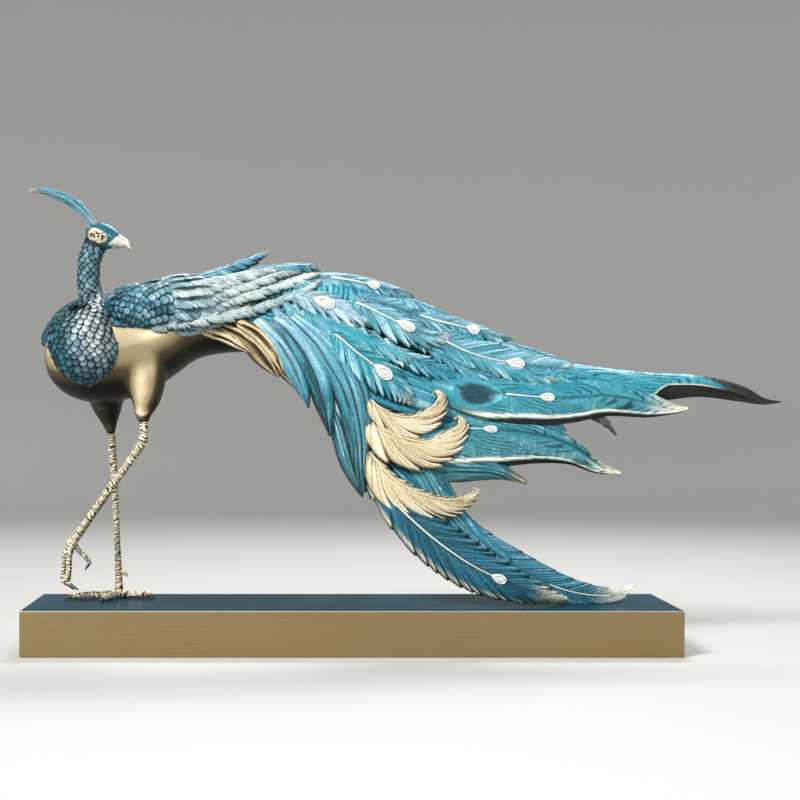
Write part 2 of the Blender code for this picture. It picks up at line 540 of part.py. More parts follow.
def shells(work):
    """The separate closed surfaces of a mesh, as lists of faces."""
    left = set(work.faces)
    found = []
    while left:
        seed = left.pop()
        group = [seed]
        queue = [seed]
        while queue:
            face = queue.pop()
            for edge in face.edges:
                for other in edge.link_faces:
                    if other in left:
                        left.remove(other)
                        group.append(other)
                        queue.append(other)
        found.append(group)
    return found


def shell_volume(group):
    """Signed volume enclosed by a list of triangles."""
    total = 0.0
    for face in group:
        a, b, c = (vert.co for vert in face.verts)
        total += a.dot(b.cross(c)) / 6
    return total


def close_slits(work):
    """Closes hairline slits where one long edge is met by two short ones: both sides get the point between."""
    slits = [edge for edge in work.edges if edge.is_boundary]
    if not slits:
        return
    slivers = bmesh.ops.holes_fill(work, edges=slits, sides=3)["faces"]
    long_edges = [max(sliver.edges, key=lambda edge: edge.calc_length()) for sliver in slivers]
    bmesh.ops.dissolve_edges(work, edges=long_edges, use_verts=False)
    bmesh.ops.triangulate(work, faces=work.faces[:])


def keep_outer_shell(obj):
    """Leaves the one outer surface: hollows sealed inside the casting are filled solid."""
    work = bmesh.new()
    work.from_mesh(obj.data)
    close_slits(work)
    bmesh.ops.triangulate(work, faces=work.faces[:])
    groups = shells(work)
    groups.sort(key=shell_volume, reverse=True)
    for group in groups[1:]:
        volume = shell_volume(group) / UNIT ** 3
        if volume > 1:
            print("separate piece of", round(volume), "cubic units after", obj.get("last_joined"))
        bmesh.ops.delete(work, geom=group, context="FACES")
    loose = [vert for vert in work.verts if not vert.link_faces]
    bmesh.ops.delete(work, geom=loose, context="VERTS")
    work.to_mesh(obj.data)
    work.free()


def thin_out(obj):
    """Drops the smallest facets left by the joins, so that the casting stays light."""
    work = bmesh.new()
    work.from_mesh(obj.data)
    share = min(1.0, MOST_FACETS / len(work.faces))
    work.free()
    fewer = obj.modifiers.new("fewer", "DECIMATE")
    fewer.decimate_type = "COLLAPSE"
    fewer.ratio = share
    result = evaluated_copy(obj)
    obj.modifiers.remove(fewer)
    old = obj.data
    obj.data = result
    bpy.data.meshes.remove(old)
    keep_outer_shell(obj)


def principled(name, colour, metallic, roughness):
    """A plain material of one colour."""
    material = bpy.data.materials.new(name)
    material.use_nodes = True
    shader = material.node_tree.nodes["Principled BSDF"]
    shader.inputs["Base Color"].default_value = colour
    shader.inputs["Metallic"].default_value = metallic
    shader.inputs["Roughness"].default_value = roughness
    return material


def make_plinth():
    """The rectangular block with slightly eased edges."""
    mesh = bpy.data.meshes.new("plinth")
    work = bmesh.new()
    bmesh.ops.create_cube(work, size=1.0)
    bmesh.ops.scale(work, vec=(PLINTH_LENGTH, PLINTH_DEPTH, PLINTH_HEIGHT), verts=work.verts)
    bmesh.ops.translate(work, vec=(0, 0, PLINTH_HEIGHT / 2), verts=work.verts)
    bmesh.ops.bevel(work, geom=work.edges[:], offset=PLINTH_EDGE, segments=1, profile=0.5,
                    affect="EDGES", material=-1)
    work.to_mesh(mesh)
    work.free()
    obj = bpy.data.objects.new("plinth", mesh)
    bpy.context.scene.collection.objects.link(obj)
    return obj


def make_bird():
    """The whole bird as one casting."""
    bird = None
    pieces = []
    for name in ORDER:
        stations = FORMS[name]
        flat = name.startswith("toe_left") or name.startswith("toe_right") or name.startswith("toe_near")
        flat = flat or name.startswith("toe_back")
        sides = SIDE_COUNTS.get(name, TOE_SIDES)
        steps = STEP_COUNTS.get(name, TOE_STEPS)
        pieces.append(rounded(name, stations, sides, steps, flat))
    for name, (form, stations) in FEATHERS.items():
        pieces.append(feather(name, form, stations))
    bird = pieces[0]
    for piece in pieces[1:]:
        bird["last_joined"] = piece.name
        unite(bird, piece)
        keep_outer_shell(bird)
    thin_out(bird)
    for vert in bird.data.vertices:
        vert.co.z = max(vert.co.z, PLINTH_HEIGHT + STANDING_GAP)
    bird.name = "peacock"
    bird.data.name = "peacock"
    return bird


for leftover in list(bpy.data.objects):
    bpy.data.objects.remove(leftover)

plinth = make_plinth()
plinth.data.materials.append(principled("plinth_metal", (0.42, 0.30, 0.13, 1), 0.9, 0.35))

peacock = make_bird()
peacock.data.materials.clear()
peacock.data.materials.append(principled("cast_patina", (0.05, 0.30, 0.40, 1), 0.4, 0.4))
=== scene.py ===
import math
import bpy
import bmesh
import numpy as np
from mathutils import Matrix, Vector


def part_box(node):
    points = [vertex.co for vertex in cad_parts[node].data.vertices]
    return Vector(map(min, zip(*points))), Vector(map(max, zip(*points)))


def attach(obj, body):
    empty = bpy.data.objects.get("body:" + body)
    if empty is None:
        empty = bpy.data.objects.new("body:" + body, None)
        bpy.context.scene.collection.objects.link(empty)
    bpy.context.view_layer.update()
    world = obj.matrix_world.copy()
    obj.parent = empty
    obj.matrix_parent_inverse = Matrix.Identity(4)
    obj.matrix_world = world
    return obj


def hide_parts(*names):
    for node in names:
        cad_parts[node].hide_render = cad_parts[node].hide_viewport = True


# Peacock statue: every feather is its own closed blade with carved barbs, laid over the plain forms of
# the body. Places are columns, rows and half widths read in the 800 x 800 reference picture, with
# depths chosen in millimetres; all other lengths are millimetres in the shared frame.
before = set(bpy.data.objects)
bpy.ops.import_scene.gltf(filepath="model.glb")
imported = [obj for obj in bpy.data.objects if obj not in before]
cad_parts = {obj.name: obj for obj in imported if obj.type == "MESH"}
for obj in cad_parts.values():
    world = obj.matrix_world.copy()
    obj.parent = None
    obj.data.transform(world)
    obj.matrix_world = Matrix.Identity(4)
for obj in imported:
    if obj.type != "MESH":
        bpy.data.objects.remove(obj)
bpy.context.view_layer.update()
mm = 0.001
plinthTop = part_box("plinth")[1][2]
lowest = plinthTop + 0.3 * mm


# Small maths helpers
def smoothStep(low, high, value):
    t = np.clip((value - low) / (high - low), 0, 1)
    return t * t * (3 - 2 * t)


def wobble(value, seed):
    # repeatable unevenness from a few sines, about -1 to 1
    waves = np.sin(value * 1.7 + seed * 1.3) + np.sin(value * 3.1 + seed * 2.9) * 0.6
    return (waves + np.sin(value * 6.3 + seed * 4.7) * 0.35) / 1.95


def bell(offset, width):
    # 1 on the line and fading to both sides of it
    return np.exp(-(offset / width) ** 2)


def curveThrough(stations, samples=240):
    # smooth curve through the stations, in metres; last column is the station index, 0 to 1
    table = np.array(stations, float) * mm
    padded = np.vstack([2 * table[0] - table[1], table, 2 * table[-1] - table[-2]])
    spans = len(table) - 1
    place = np.linspace(0, spans, samples)
    span = np.minimum(place.astype(int), spans - 1)
    t = (place - span)[:, None]
    a, b, c, d = (padded[span + k] for k in range(4))
    points = 0.5 * (2 * b + (c - a) * t + (2 * a - 5 * b + 4 * c - d) * t ** 2
                    + (3 * b - a - 3 * c + d) * t ** 3)
    return np.hstack([points, (place / spans)[:, None]])


def evenly(curve, share):
    # rows of the curve at these shares of its length, with the distance run so far
    steps = np.linalg.norm(np.diff(curve[:, :3], axis=0), axis=1)
    run = np.concatenate([[0], np.cumsum(steps)])
    rows = np.stack([np.interp(share * run[-1], run, curve[:, k]) for k in range(curve.shape[1])], axis=1)
    return rows, share * run[-1], run[-1]


# Places read off the reference picture
picture = {
    "viewpoint": (-42.3, -1671, 200.2),   # where the camera stands, in mm
    "focal": 1961,                        # its focal length in pixels
    "aimedAt": (300, 412),                # column and row of the point straight ahead of it
    # column and row of points along the train's upper edge
    "trainEdge": [
        (100, 292), (150, 280), (200, 276), (250, 268), (300, 265), (350, 278), (415, 292), (450, 318),
        (510, 336), (580, 366), (650, 374), (700, 378), (781, 400),
    ],
    "shoulder": (130, 330),               # column and row where the wings' depths are measured from
}


def fromPicture(column, row, depth):
    # x and z in mm of a point of the picture at this depth, and how many mm a pixel is there
    scale = (depth - picture["viewpoint"][1]) / picture["focal"]
    x = picture["viewpoint"][0] + (column - picture["aimedAt"][0]) * scale
    z = picture["viewpoint"][2] - (row - picture["aimedAt"][1]) * scale
    return x, z, scale


def tenths(*values):
    return tuple(round(value, 1) for value in values)


def trainDepth(column, row):
    # from its upper edge down the train swells towards the viewer, and its foot comes further still
    columns, rows = zip(*picture["trainEdge"])
    below = max(0.0, row - np.interp(column, columns, rows))
    return 24 - 36 * (1 - math.exp(-below / 50)) - 0.25 * max(0.0, below - 150)


def trainBackDepth(column, row):
    return trainDepth(column, row) + 13


def wingDepth(column, row):
    # the near wing closes in over the back
    column, row = column - picture["shoulder"][0], picture["shoulder"][1] - row
    return min(11, -36 + 0.26 * column + 0.30 * row)


def farWingDepth(column, row):
    column, row = column - picture["shoulder"][0], picture["shoulder"][1] - row
    return 66 - 0.07 * column - 0.28 * row


def middleDepth(column, row):
    return 0


def formPlaces(places):
    # stations of a rounded form from column, row and half height in pixels, depth and half depth in mm
    stations = []
    for column, row, half, depth, deep in places:
        x, z, scale = fromPicture(column, row, depth)
        stations.append(tenths(x, depth, z, half * scale, deep))
    return stations


def toePlaces(places):
    # stations of a toe lying on the plinth, from column, depth and radius
    stations = []
    for column, depth, radius in places:
        x = fromPicture(column, 0, depth)[0]
        stations.append(tenths(x, depth, lowest / mm + radius, radius, radius))
    return stations


def featherPlaces(entries, depthAt):
    # an entry is what is special about a feather, its tilts, arch and thickness, how far it stands out
    # in mm, and its places: column, row and half width in pixels, and perhaps a shift in depth in mm
    specs = []
    for options, form, layer, places in entries:
        stations = []
        for column, row, half, *shift in places:
            depth = depthAt(column, row) - layer + sum(shift)
            x, z, scale = fromPicture(column, row, depth)
            stations.append(tenths(x, depth, z, half * scale))
        specs.append((options, form, stations))
    return specs


def unit(vectors):
    return vectors / np.maximum(np.linalg.norm(vectors, axis=1, keepdims=True), 1e-12)


# Mesh helpers
def wrapGrid(along, around, shape):
    # a grid wrapped into a closed skin: shape gives points and paint from along and around, 0 to 1
    mesh = bpy.data.meshes.new("skin")
    work = bmesh.new()
    bmesh.ops.create_grid(work, x_segments=along, y_segments=around, size=1)
    work.to_mesh(mesh)
    work.free()
    flat = np.empty(len(mesh.vertices) * 3)
    mesh.vertices.foreach_get("co", flat)
    spots = flat.reshape(-1, 3)
    points, paint = shape((spots[:, 0] + 1) / 2, (spots[:, 1] + 1) / 2)
    mesh.vertices.foreach_set("co", points.ravel())
    layer = mesh.attributes.new("paint", "FLOAT_COLOR", "POINT")
    layer.data.foreach_set("color", np.clip(paint, 0, 1).astype(np.float32).ravel())
    work = bmesh.new()
    work.from_mesh(mesh)
    rim = [vert for vert in work.verts if vert.is_boundary]
    bmesh.ops.remove_doubles(work, verts=rim, dist=1e-6)
    holes = [edge for edge in work.edges if edge.is_boundary]
    bmesh.ops.holes_fill(work, edges=holes, sides=0)
    work.to_mesh(mesh)
    work.free()
    return mesh


def joined(name, meshes, material):
    # one piece of several closed skins
    work = bmesh.new()
    for mesh in meshes:
        work.from_mesh(mesh)
        bpy.data.meshes.remove(mesh)
    bmesh.ops.recalc_face_normals(work, faces=work.faces)
    for face in work.faces:
        face.smooth = True
    for vert in work.verts:
        vert.co.z = max(vert.co.z, lowest)
    final = bpy.data.meshes.new(name)
    work.to_mesh(final)
    work.free()
    final.materials.append(material)
    piece = bpy.data.objects.new(name, final)
    bpy.context.scene.collection.objects.link(piece)
    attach(piece, "root")
    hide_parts("peacock")
    print(name, len(final.polygons), "faces")
    return piece


# Feathers
def blade(stations, form, look):
    # a plain arched blade: face gives points over it from the run along the quill and v, -1 to 1 across
    tiltRoot, tiltTip, arch, thickness = form
    curve = curveThrough(stations)
    run = np.concatenate([[0], np.cumsum(np.linalg.norm(np.diff(curve[:, :3], axis=0), axis=1))])
    length = run[-1]
    widest = curve[:, 3].max()

    def sample(spot, column):
        return np.interp(spot, run, curve[:, column])

    def centreAt(spot):
        return np.stack([sample(spot, k) for k in range(3)], axis=1)

    def halfAt(spot):
        # the root is rounded off
        rootShare = np.clip(spot / min(0.08 * length, 6 * mm), 0, 1)
        return np.maximum(sample(spot, 3) * np.sqrt(1 - (1 - rootShare) ** 2), 0.3 * mm)

    def face(spot, v, extra, below=False, shrink=0.0):
        reach = 0.006 * length
        forward = unit(centreAt(np.minimum(spot + reach, length)) - centreAt(np.maximum(spot - reach, 0)))
        tilt = np.radians(tiltRoot + (tiltTip - tiltRoot) * sample(spot, 4))
        facing = np.stack([np.zeros_like(tilt), -np.cos(tilt), np.sin(tilt)], axis=1)
        side = unit(np.cross(forward, facing))
        out = np.cross(side, forward)
        half = halfAt(spot)
        fullness = np.minimum(1, half / (0.4 * widest))
        middle = 1 - v * v
        swell = thickness * mm * 0.5 * fullness * (0.12 + 0.88 * middle) * (np.abs(v) < 0.9999)
        top = swell + np.maximum(extra, -1.6 * swell) * (np.abs(v) < 0.9999)
        lift = arch * mm * middle * fullness + np.where(below, -swell, top)
        sunk = 1 - smoothStep(0, look.get("sinkOver", 0.10) * length, spot)
        lift = lift - look.get("sink", 2.0) * mm * sunk
        return centreAt(spot) + side * (v * half * (1 - shrink))[:, None] + out * lift[:, None]

    return face, halfAt, length, widest


def grooved(edges, shares=(0.0, 0.15, 0.5, 0.85)):
    # places of the grid lines so that each groove falls on a line: place, part of the barb, barb number
    count = len(edges) - 1
    barb = np.append(np.repeat(np.arange(count), len(shares)), count - 1)
    part = np.append(np.tile(shares, count), 1.0)
    return edges[barb] + part * (edges[barb + 1] - edges[barb]), part, barb


def unevenSteps(count, rng, spread=0.4):
    edges = np.concatenate([[0], np.cumsum(1 + spread * rng.uniform(-1, 1, count))])
    return edges / edges[-1]


def feather(spec, look, seed):
    options, form, stations = spec
    look = {**look, **options}
    rng = np.random.RandomState(int(seed * 137) % 9973)
    face, halfAt, length, widest = blade(stations, form, look)
    quillAt = look.get("quillAt", 0.0)
    grain = look.get("grain", False)
    eye = look.get("eye")
    barbCount = max(5, round(length / (look["barb"] * mm)))
    edges = unevenSteps(barbCount, rng)
    rowPlace, rowPart, rowBarb = grooved(edges)
    if grain:
        rowPlace = np.linspace(0, 1, int(length / (0.75 * mm)))
        rowPart = np.full(len(rowPlace), 0.5)
        rowBarb = np.minimum((rowPlace * barbCount).astype(int), barbCount - 1)
    # barbs gather into pointed lobes, differently on the two sides of the quill
    lobePart, lobeTone = [], []
    for flank in range(2):
        starts = [0]
        while starts[-1] < barbCount:
            starts.append(starts[-1] + rng.choice(look["gather"]))
        starts[-1] = barbCount
        starts = np.array(starts)
        index = np.minimum(np.searchsorted(starts, rowBarb, side="right") - 1, len(starts) - 2)
        begin, stop = edges[starts[index]], edges[starts[index + 1]]
        lobePart.append(np.clip((rowPlace - begin) / (stop - begin), 0, 1))
        lobeTone.append(rng.uniform(-1, 1, len(starts))[index])
    barbTone = rng.uniform(-1, 1, barbCount)[rowBarb] * (0 if grain else 1)
    if grain:
        lobeTone = [tone * 0 for tone in lobeTone]
    along = len(rowPlace) - 1
    overFace = int(min(30, max(10, widest / mm * 1.15))) * (2 if grain else 1)
    around = overFace + 6
    turnOver = overFace / around

    def shape(a, b):
        row = np.rint(a * along).astype(int)
        onFace = b <= turnOver + 1e-9
        v = np.where(onFace, 2 * b / turnOver - 1, 1 - 2 * (b - turnOver) / (1 - turnOver))
        upper = v < quillAt
        t = np.where(upper, (quillAt - v) / (1 + quillAt), (v - quillAt) / (1 - quillAt))
        place = rowPlace[row]
        start = place * length
        room = np.maximum(length - start, 1e-6)
        reach = t * halfAt(start) * np.where(upper, 1 + quillAt, 1 - quillAt)
        swept = 1 - np.exp(-look["lean"] * np.minimum(reach, 0.5 * room) / room)
        sweep = room * swept * smoothStep(0, 0.14, place)
        if grain:
            sweep = sweep * 0
        spot = np.minimum(start + sweep, length)
        half = halfAt(spot)
        lobe = np.where(upper, lobePart[0][row], lobePart[1][row])
        tint = np.where(upper, lobeTone[0][row], lobeTone[1][row])
        part = rowPart[row]
        ends = smoothStep(0, 0.05, place) * smoothStep(1, 0.97, place)
        plain = look.get("plain", 0)
        fine = ends * smoothStep(plain * 0.7, plain + 0.02, place) * smoothStep(0.04, 0.22, t)
        split = (lobe < 1e-6) * smoothStep(look["splitFrom"], look["splitFrom"] + 0.25, t + 0.15 * tint)
        groove = (part < 0.01) * (0.55 + 0.45 * barbTone[row])
        pillow = np.sin(np.pi * part)
        crown = np.sin(np.pi * lobe) ** 0.7
        if grain:
            centre = eye[0] * length if eye else 0.5 * length
            offset = (v - quillAt) * half
            rings = np.sqrt(((spot - centre) / 4.2) ** 2 + offset ** 2) / (2.5 * mm)
            rings = rings + 0.7 * wobble(spot / mm * 0.05 + v * 1.5, seed)
            ring = rings - np.floor(rings)
            patchy = smoothStep(0.2, 0.9, wobble(spot / mm * 0.06 - v * 3, seed + 3) + 0.75)
            groove = bell(np.minimum(ring, 1 - ring), 0.17) * patchy
            groove, pillow, split, crown = groove * 0.62, 1 - groove, split * 0, crown * 0
        depth = look["depth"] * mm * np.minimum(1, half / (4 * mm))
        extra = depth * fine * (0.30 * pillow + 0.55 * crown * t + 0.55 * lobe * t * t - 0.75 * groove
                                - 1.7 * split)
        relief = (0.46 + 0.16 * barbTone[row] + 0.10 * tint + 0.14 * pillow + 0.16 * crown * t
                  + 0.26 * lobe * t * t)
        relief = relief * (1 - 0.62 * groove) * (1 - 0.9 * split) - look.get("dim", 0)
        calm = look.get("calm", 1.0)
        relief = (0.56 - look.get("dim", 0)
                  + (relief + look.get("dim", 0) - 0.56) * fine * (1 - (1 - calm) * (1 - groove)))
        relief = (relief - look.get("outline", 0.22) * smoothStep(0.86, 1.0, np.abs(v))
                  - look.get("shade", 0) * smoothStep(0.35, 1.0, v))
        notch = np.minimum(look["notch"] * mm / half, 0.42) * (1 - lobe) ** 1.3
        notch = notch * ends * (1 - (plain > 0) * (place < plain))
        shrink = notch * smoothStep(0.3, 1.0, t)
        if look.get("edge", 0) > 0.5:
            shrink = np.where(upper, shrink, shrink * look.get("lowerNotch", 0.2))
        if grain:
            shrink = shrink * 0
        offset = (v - quillAt) * half
        furrow = bell(np.abs(offset), max(look["quill"], 0.15) * mm * 2.2) * ends
        relief = relief * (1 - 0.4 * furrow)
        relief = 0.42 + (relief - 0.42) * smoothStep(0.0, 0.16, place)
        if "hollow" in look:
            holePlace, level, longHalf, wideHalf = look["hollow"]
            ahead = (spot - holePlace * length) / (longHalf * mm)
            taper = 1.15 - 0.3 * np.tanh(ahead)
            gap = np.sqrt(ahead ** 2 + ((v - level) * half / (wideHalf * mm * taper)) ** 2)
            dish = smoothStep(1.05, 0.5, gap)
            lip = bell(gap - 1.14, 0.1)
            extra = extra * (1 - dish) - dish * 3.2 * mm + lip * 0.7 * mm
            relief = relief * (1 - dish) + dish * 0.20 + 0.06 * lip
        tipWear = smoothStep(0.80, 1.0, spot / length) * look.get("tip", 0.2)
        wornPart = smoothStep(0.12, 0.3, place) if grain else 0.25 + 0.75 * smoothStep(0.1, 0.5, lobe)
        edgeWear = smoothStep(0.66, 0.88, v) * look.get("edge", 0) * wornPart
        gild = np.maximum(tipWear, edgeWear)
        relief = relief + 0.45 * gild * (1 - 0.8 * split) * (1 - 0.7 * groove)
        tone = (look.get("tone", 0.0) + 0.12 * tint + 0.10 * wobble(place * 6 + v * 1.5, seed)
                + 0.25 * smoothStep(0.75, 1.0, t) * lobe)
        # the back and sides of the blade take part of the dark underside colour: dark bronze with painted
        # shade
        under = np.where(onFace, 0.0, 0.3)
        if "lip" in look:
            # beyond this line the face sinks a little and is painted as the blade's dark underside, below
            # a bright edge
            lipFrom, lipFull, level = look["lip"]
            level = 1.1 + (level - 1.1) * smoothStep(lipFrom, lipFull, spot / length)
            turned = smoothStep(level, level + 0.05, v)
            line = bell(v - level + 0.06, 0.06)
            # painted shade: past the line the face is painted in the dark underside colour and darkened
            extra = extra * (1 - turned) + line * 0.7 * mm - turned * 1.6 * mm
            gild = np.maximum(gild * (1 - turned), line * 0.9)
            relief = relief * (1 - turned) + 0.10 * turned + 0.30 * line
            under = np.maximum(under, turned)
        # painted shade: the whole blade takes the dark underside colour
        if look.get("allUnder"):
            under = under * 0 + 1
        # painted shade: the tip of the face is painted in the dark underside colour and darkened, though
        # the blade does not turn over there
        if "darkTip" in look:
            dark = smoothStep(look["darkTip"][0], look["darkTip"][1], place + 0.05 * wobble(v * 2, seed))
            under = np.maximum(under, dark)
            relief = relief * (1 - 0.6 * dark)
        points = face(spot, v, extra, ~onFace, shrink)
        relief = np.where(onFace, relief, 0.46 - 0.3 * groove + 0.08 * crown)
        return points, np.stack([relief, gild, np.clip(tone, 0, 1), under], axis=1)

    meshes = [wrapGrid(along, around, shape)]
    stop = (eye[0] - 0.5 * eye[1] * mm / length) if eye else look.get("quillTo", 0.9)
    if look["quill"] > 0.05:
        begin = max(0.03, look.get("quillFrom", 0.0))

        def quill(a, b):
            spot = (begin + (stop - begin) * a) * length
            turn = b * 2 * math.pi
            radius = look["quill"] * mm * (1.2 - 0.6 * a) * smoothStep(-0.02, 0.04, a)
            across = quillAt + np.cos(turn) * radius / halfAt(spot)
            points = face(spot, across, np.sin(turn) * radius * 0.8 + radius * 0.35)
            return points, np.tile([0.88, look.get("quillGild", 0.6), 0.7, 0.0], (len(a), 1))

        meshes.append(wrapGrid(int(max(12, (stop - begin) * length / (2.2 * mm))), 8, quill))
    if eye:
        meshes.append(eyePlate(face, halfAt, eye[0] * length, quillAt, eye[1] * mm,
                               look.get("eyeGild", 0.55)))
    return meshes


def eyePlate(face, halfAt, centre, quillAt, radius, gild):
    # raised teardrop with a spiral groove, tapering back into the quill
    def shape(a, b):
        turn = b * 2 * math.pi
        rim = np.minimum(a / 0.86, 1)
        back = np.cos(turn) < 0
        ahead = np.cos(turn) * rim * radius * np.where(back, 1.9, 1.15)
        across = np.sin(turn) * rim * radius * 0.88 * np.where(back, 1 - 0.55 * np.cos(turn) ** 2, 1)
        spiral = 0.24 + 0.42 * b
        groove = bell(rim - spiral, 0.075) + bell(rim - spiral - 0.42, 0.075) * (rim < 0.86)
        height = 1.25 * mm + 0.5 * mm * np.cos(rim * 1.4) - 0.55 * mm * np.minimum(groove, 1)
        height = np.where(a > 0.86, 1.2 * mm - (a - 0.86) / 0.14 * 3.0 * mm, height)
        spot = centre + ahead
        points = face(spot, quillAt + across / halfAt(spot), height)
        relief = np.where(a > 0.87, 0.1, 0.92 - 0.62 * np.minimum(groove, 1) - 0.15 * (rim > 0.97))
        return points, np.stack([relief, np.full_like(a, gild), np.full_like(a, 0.95), np.zeros_like(a)],
                                axis=1)

    return wrapGrid(16, 30, shape)


def strand(spec, look, seed):
    # a smooth feather with long grooves running its whole length
    options, form, stations = spec
    look = {**look, **options}
    rng = np.random.RandomState(int(seed * 151) % 9973)
    face, halfAt, length, widest = blade(stations, form, look)
    count = look.get("strands", max(2, round(widest / (3.4 * mm))))
    colPlace, colPart, colGroup = grooved(unevenSteps(count, rng, 0.35), (0.0, 0.12, 0.32, 0.62, 0.88))
    level = rng.uniform(-1, 1, count)[colGroup]
    overFace = len(colPlace) - 1
    around = overFace + 5
    along = int(min(150, max(30, length / (1.8 * mm))))

    def shape(a, b):
        column = np.rint(b * around).astype(int)
        onFace = column <= overFace
        lane = np.minimum(column, overFace)
        v = np.where(onFace, 2 * colPlace[lane] - 1, 1 - 2 * (column - overFace) / 5)
        v = v + 0.10 * wobble(a * 4 + v * 2, seed) * (1 - v * v) * smoothStep(0, 0.2, a)
        spot = a * length
        half = halfAt(spot)
        group = colGroup[lane]
        strength = smoothStep(-0.5, 0.2, wobble(a * 3.1 + group * 1.9, seed + 1) + 0.35)
        near = np.minimum(colPart[lane], 1 - colPart[lane]) / look.get("grooveWide", 0.05)
        groove = np.exp(-near * near) * (lane > 0) * (lane < overFace) * strength * onFace
        pillow = np.sin(np.pi * np.clip(colPart[lane], 0, 1)) * (0.8 + 0.2 * level[lane])
        ends = smoothStep(0, 0.03, a) * smoothStep(1, 0.97, a)
        depth = look["depth"] * mm * np.minimum(1, half / (4 * mm))
        extra = depth * ends * (0.8 * pillow + 0.25 * level[lane] - 4 * look.get("groove", 0.30) * groove)
        hair = np.sin(a * 3 + v * half / (0.55 * mm) + 1.5 * wobble(a * 4, seed + 4))
        relief = (0.40 + 0.20 * pillow + 0.13 * level[lane] + 0.11 * hair
                  - look.get("groove", 0.30) * groove - look.get("fade", 0.0) * a + look.get("rise", 0))
        tone = look.get("tone", 0.0) * (1 - a) ** 2.2 + 0.1 * level[lane]
        gild = (look.get("tip", 0.0) * smoothStep(0.8, 1, a) + look.get("grooveGild", 0.0) * groove * a
                + look.get("edge", 0) * smoothStep(0.8, 0.97, np.abs(v)) * a)
        points = face(spot, v, extra, ~onFace)
        # the back and sides take part of the dark underside colour: dark bronze with painted shade
        return points, np.stack([relief, gild, np.clip(tone, 0, 1), np.where(onFace, 0.0, 0.3)], axis=1)

    return [wrapGrid(along, around, shape)]


def featherMeshes(specs, look, seed):
    meshes = []
    for number, spec in enumerate(specs):
        build = strand if spec[0].get("kind") == "strand" else feather
        meshes += build(spec, look, seed + number * 1.37)
    return meshes


def featherSet(name, look, entries, material, depthAt=trainDepth):
    joined(name, featherMeshes(featherPlaces(entries, depthAt), look, len(name)), material)


# Rounded forms
def ringAt(curve, a, turn, flat=False):
    # point on a rounded form, its outward and forward directions, at shares along and around
    rows, run, length = evenly(curve, a)
    ahead = evenly(curve, np.minimum(a + 0.01, 1))[0][:, :3]
    behind = evenly(curve, np.maximum(a - 0.01, 0))[0][:, :3]
    forward = unit(ahead - behind)
    reference = np.zeros_like(forward)
    reference[:, 2 if flat else 1] = 1
    side = unit(reference - forward * np.sum(forward * reference, axis=1)[:, None])
    rise = np.cross(forward, side)
    angle = turn * 2 * math.pi
    tall = np.maximum(rows[:, 3], 0.15 * mm)
    deep = np.maximum(rows[:, 4], 0.15 * mm)
    outward = unit(rise * (np.cos(angle) * deep)[:, None] + side * (np.sin(angle) * tall)[:, None])
    points = rows[:, :3] + rise * (tall * np.cos(angle))[:, None] + side * (deep * np.sin(angle))[:, None]
    return points, outward, forward, run, length


def rounded(stations, along, around, carve=None, flat=False):
    curve = curveThrough(stations)

    def shape(a, b):
        points, outward, forward, run, length = ringAt(curve, a, b, flat)
        paint = np.zeros((len(a), 4))
        paint[:, 0] = 0.62
        if carve:
            height, changes = carve(a, b, run, points)
            points = points + outward * height[:, None]
            for column, values in changes.items():
                paint[:, column] = values
        return points, paint

    return wrapGrid(along, around, shape)


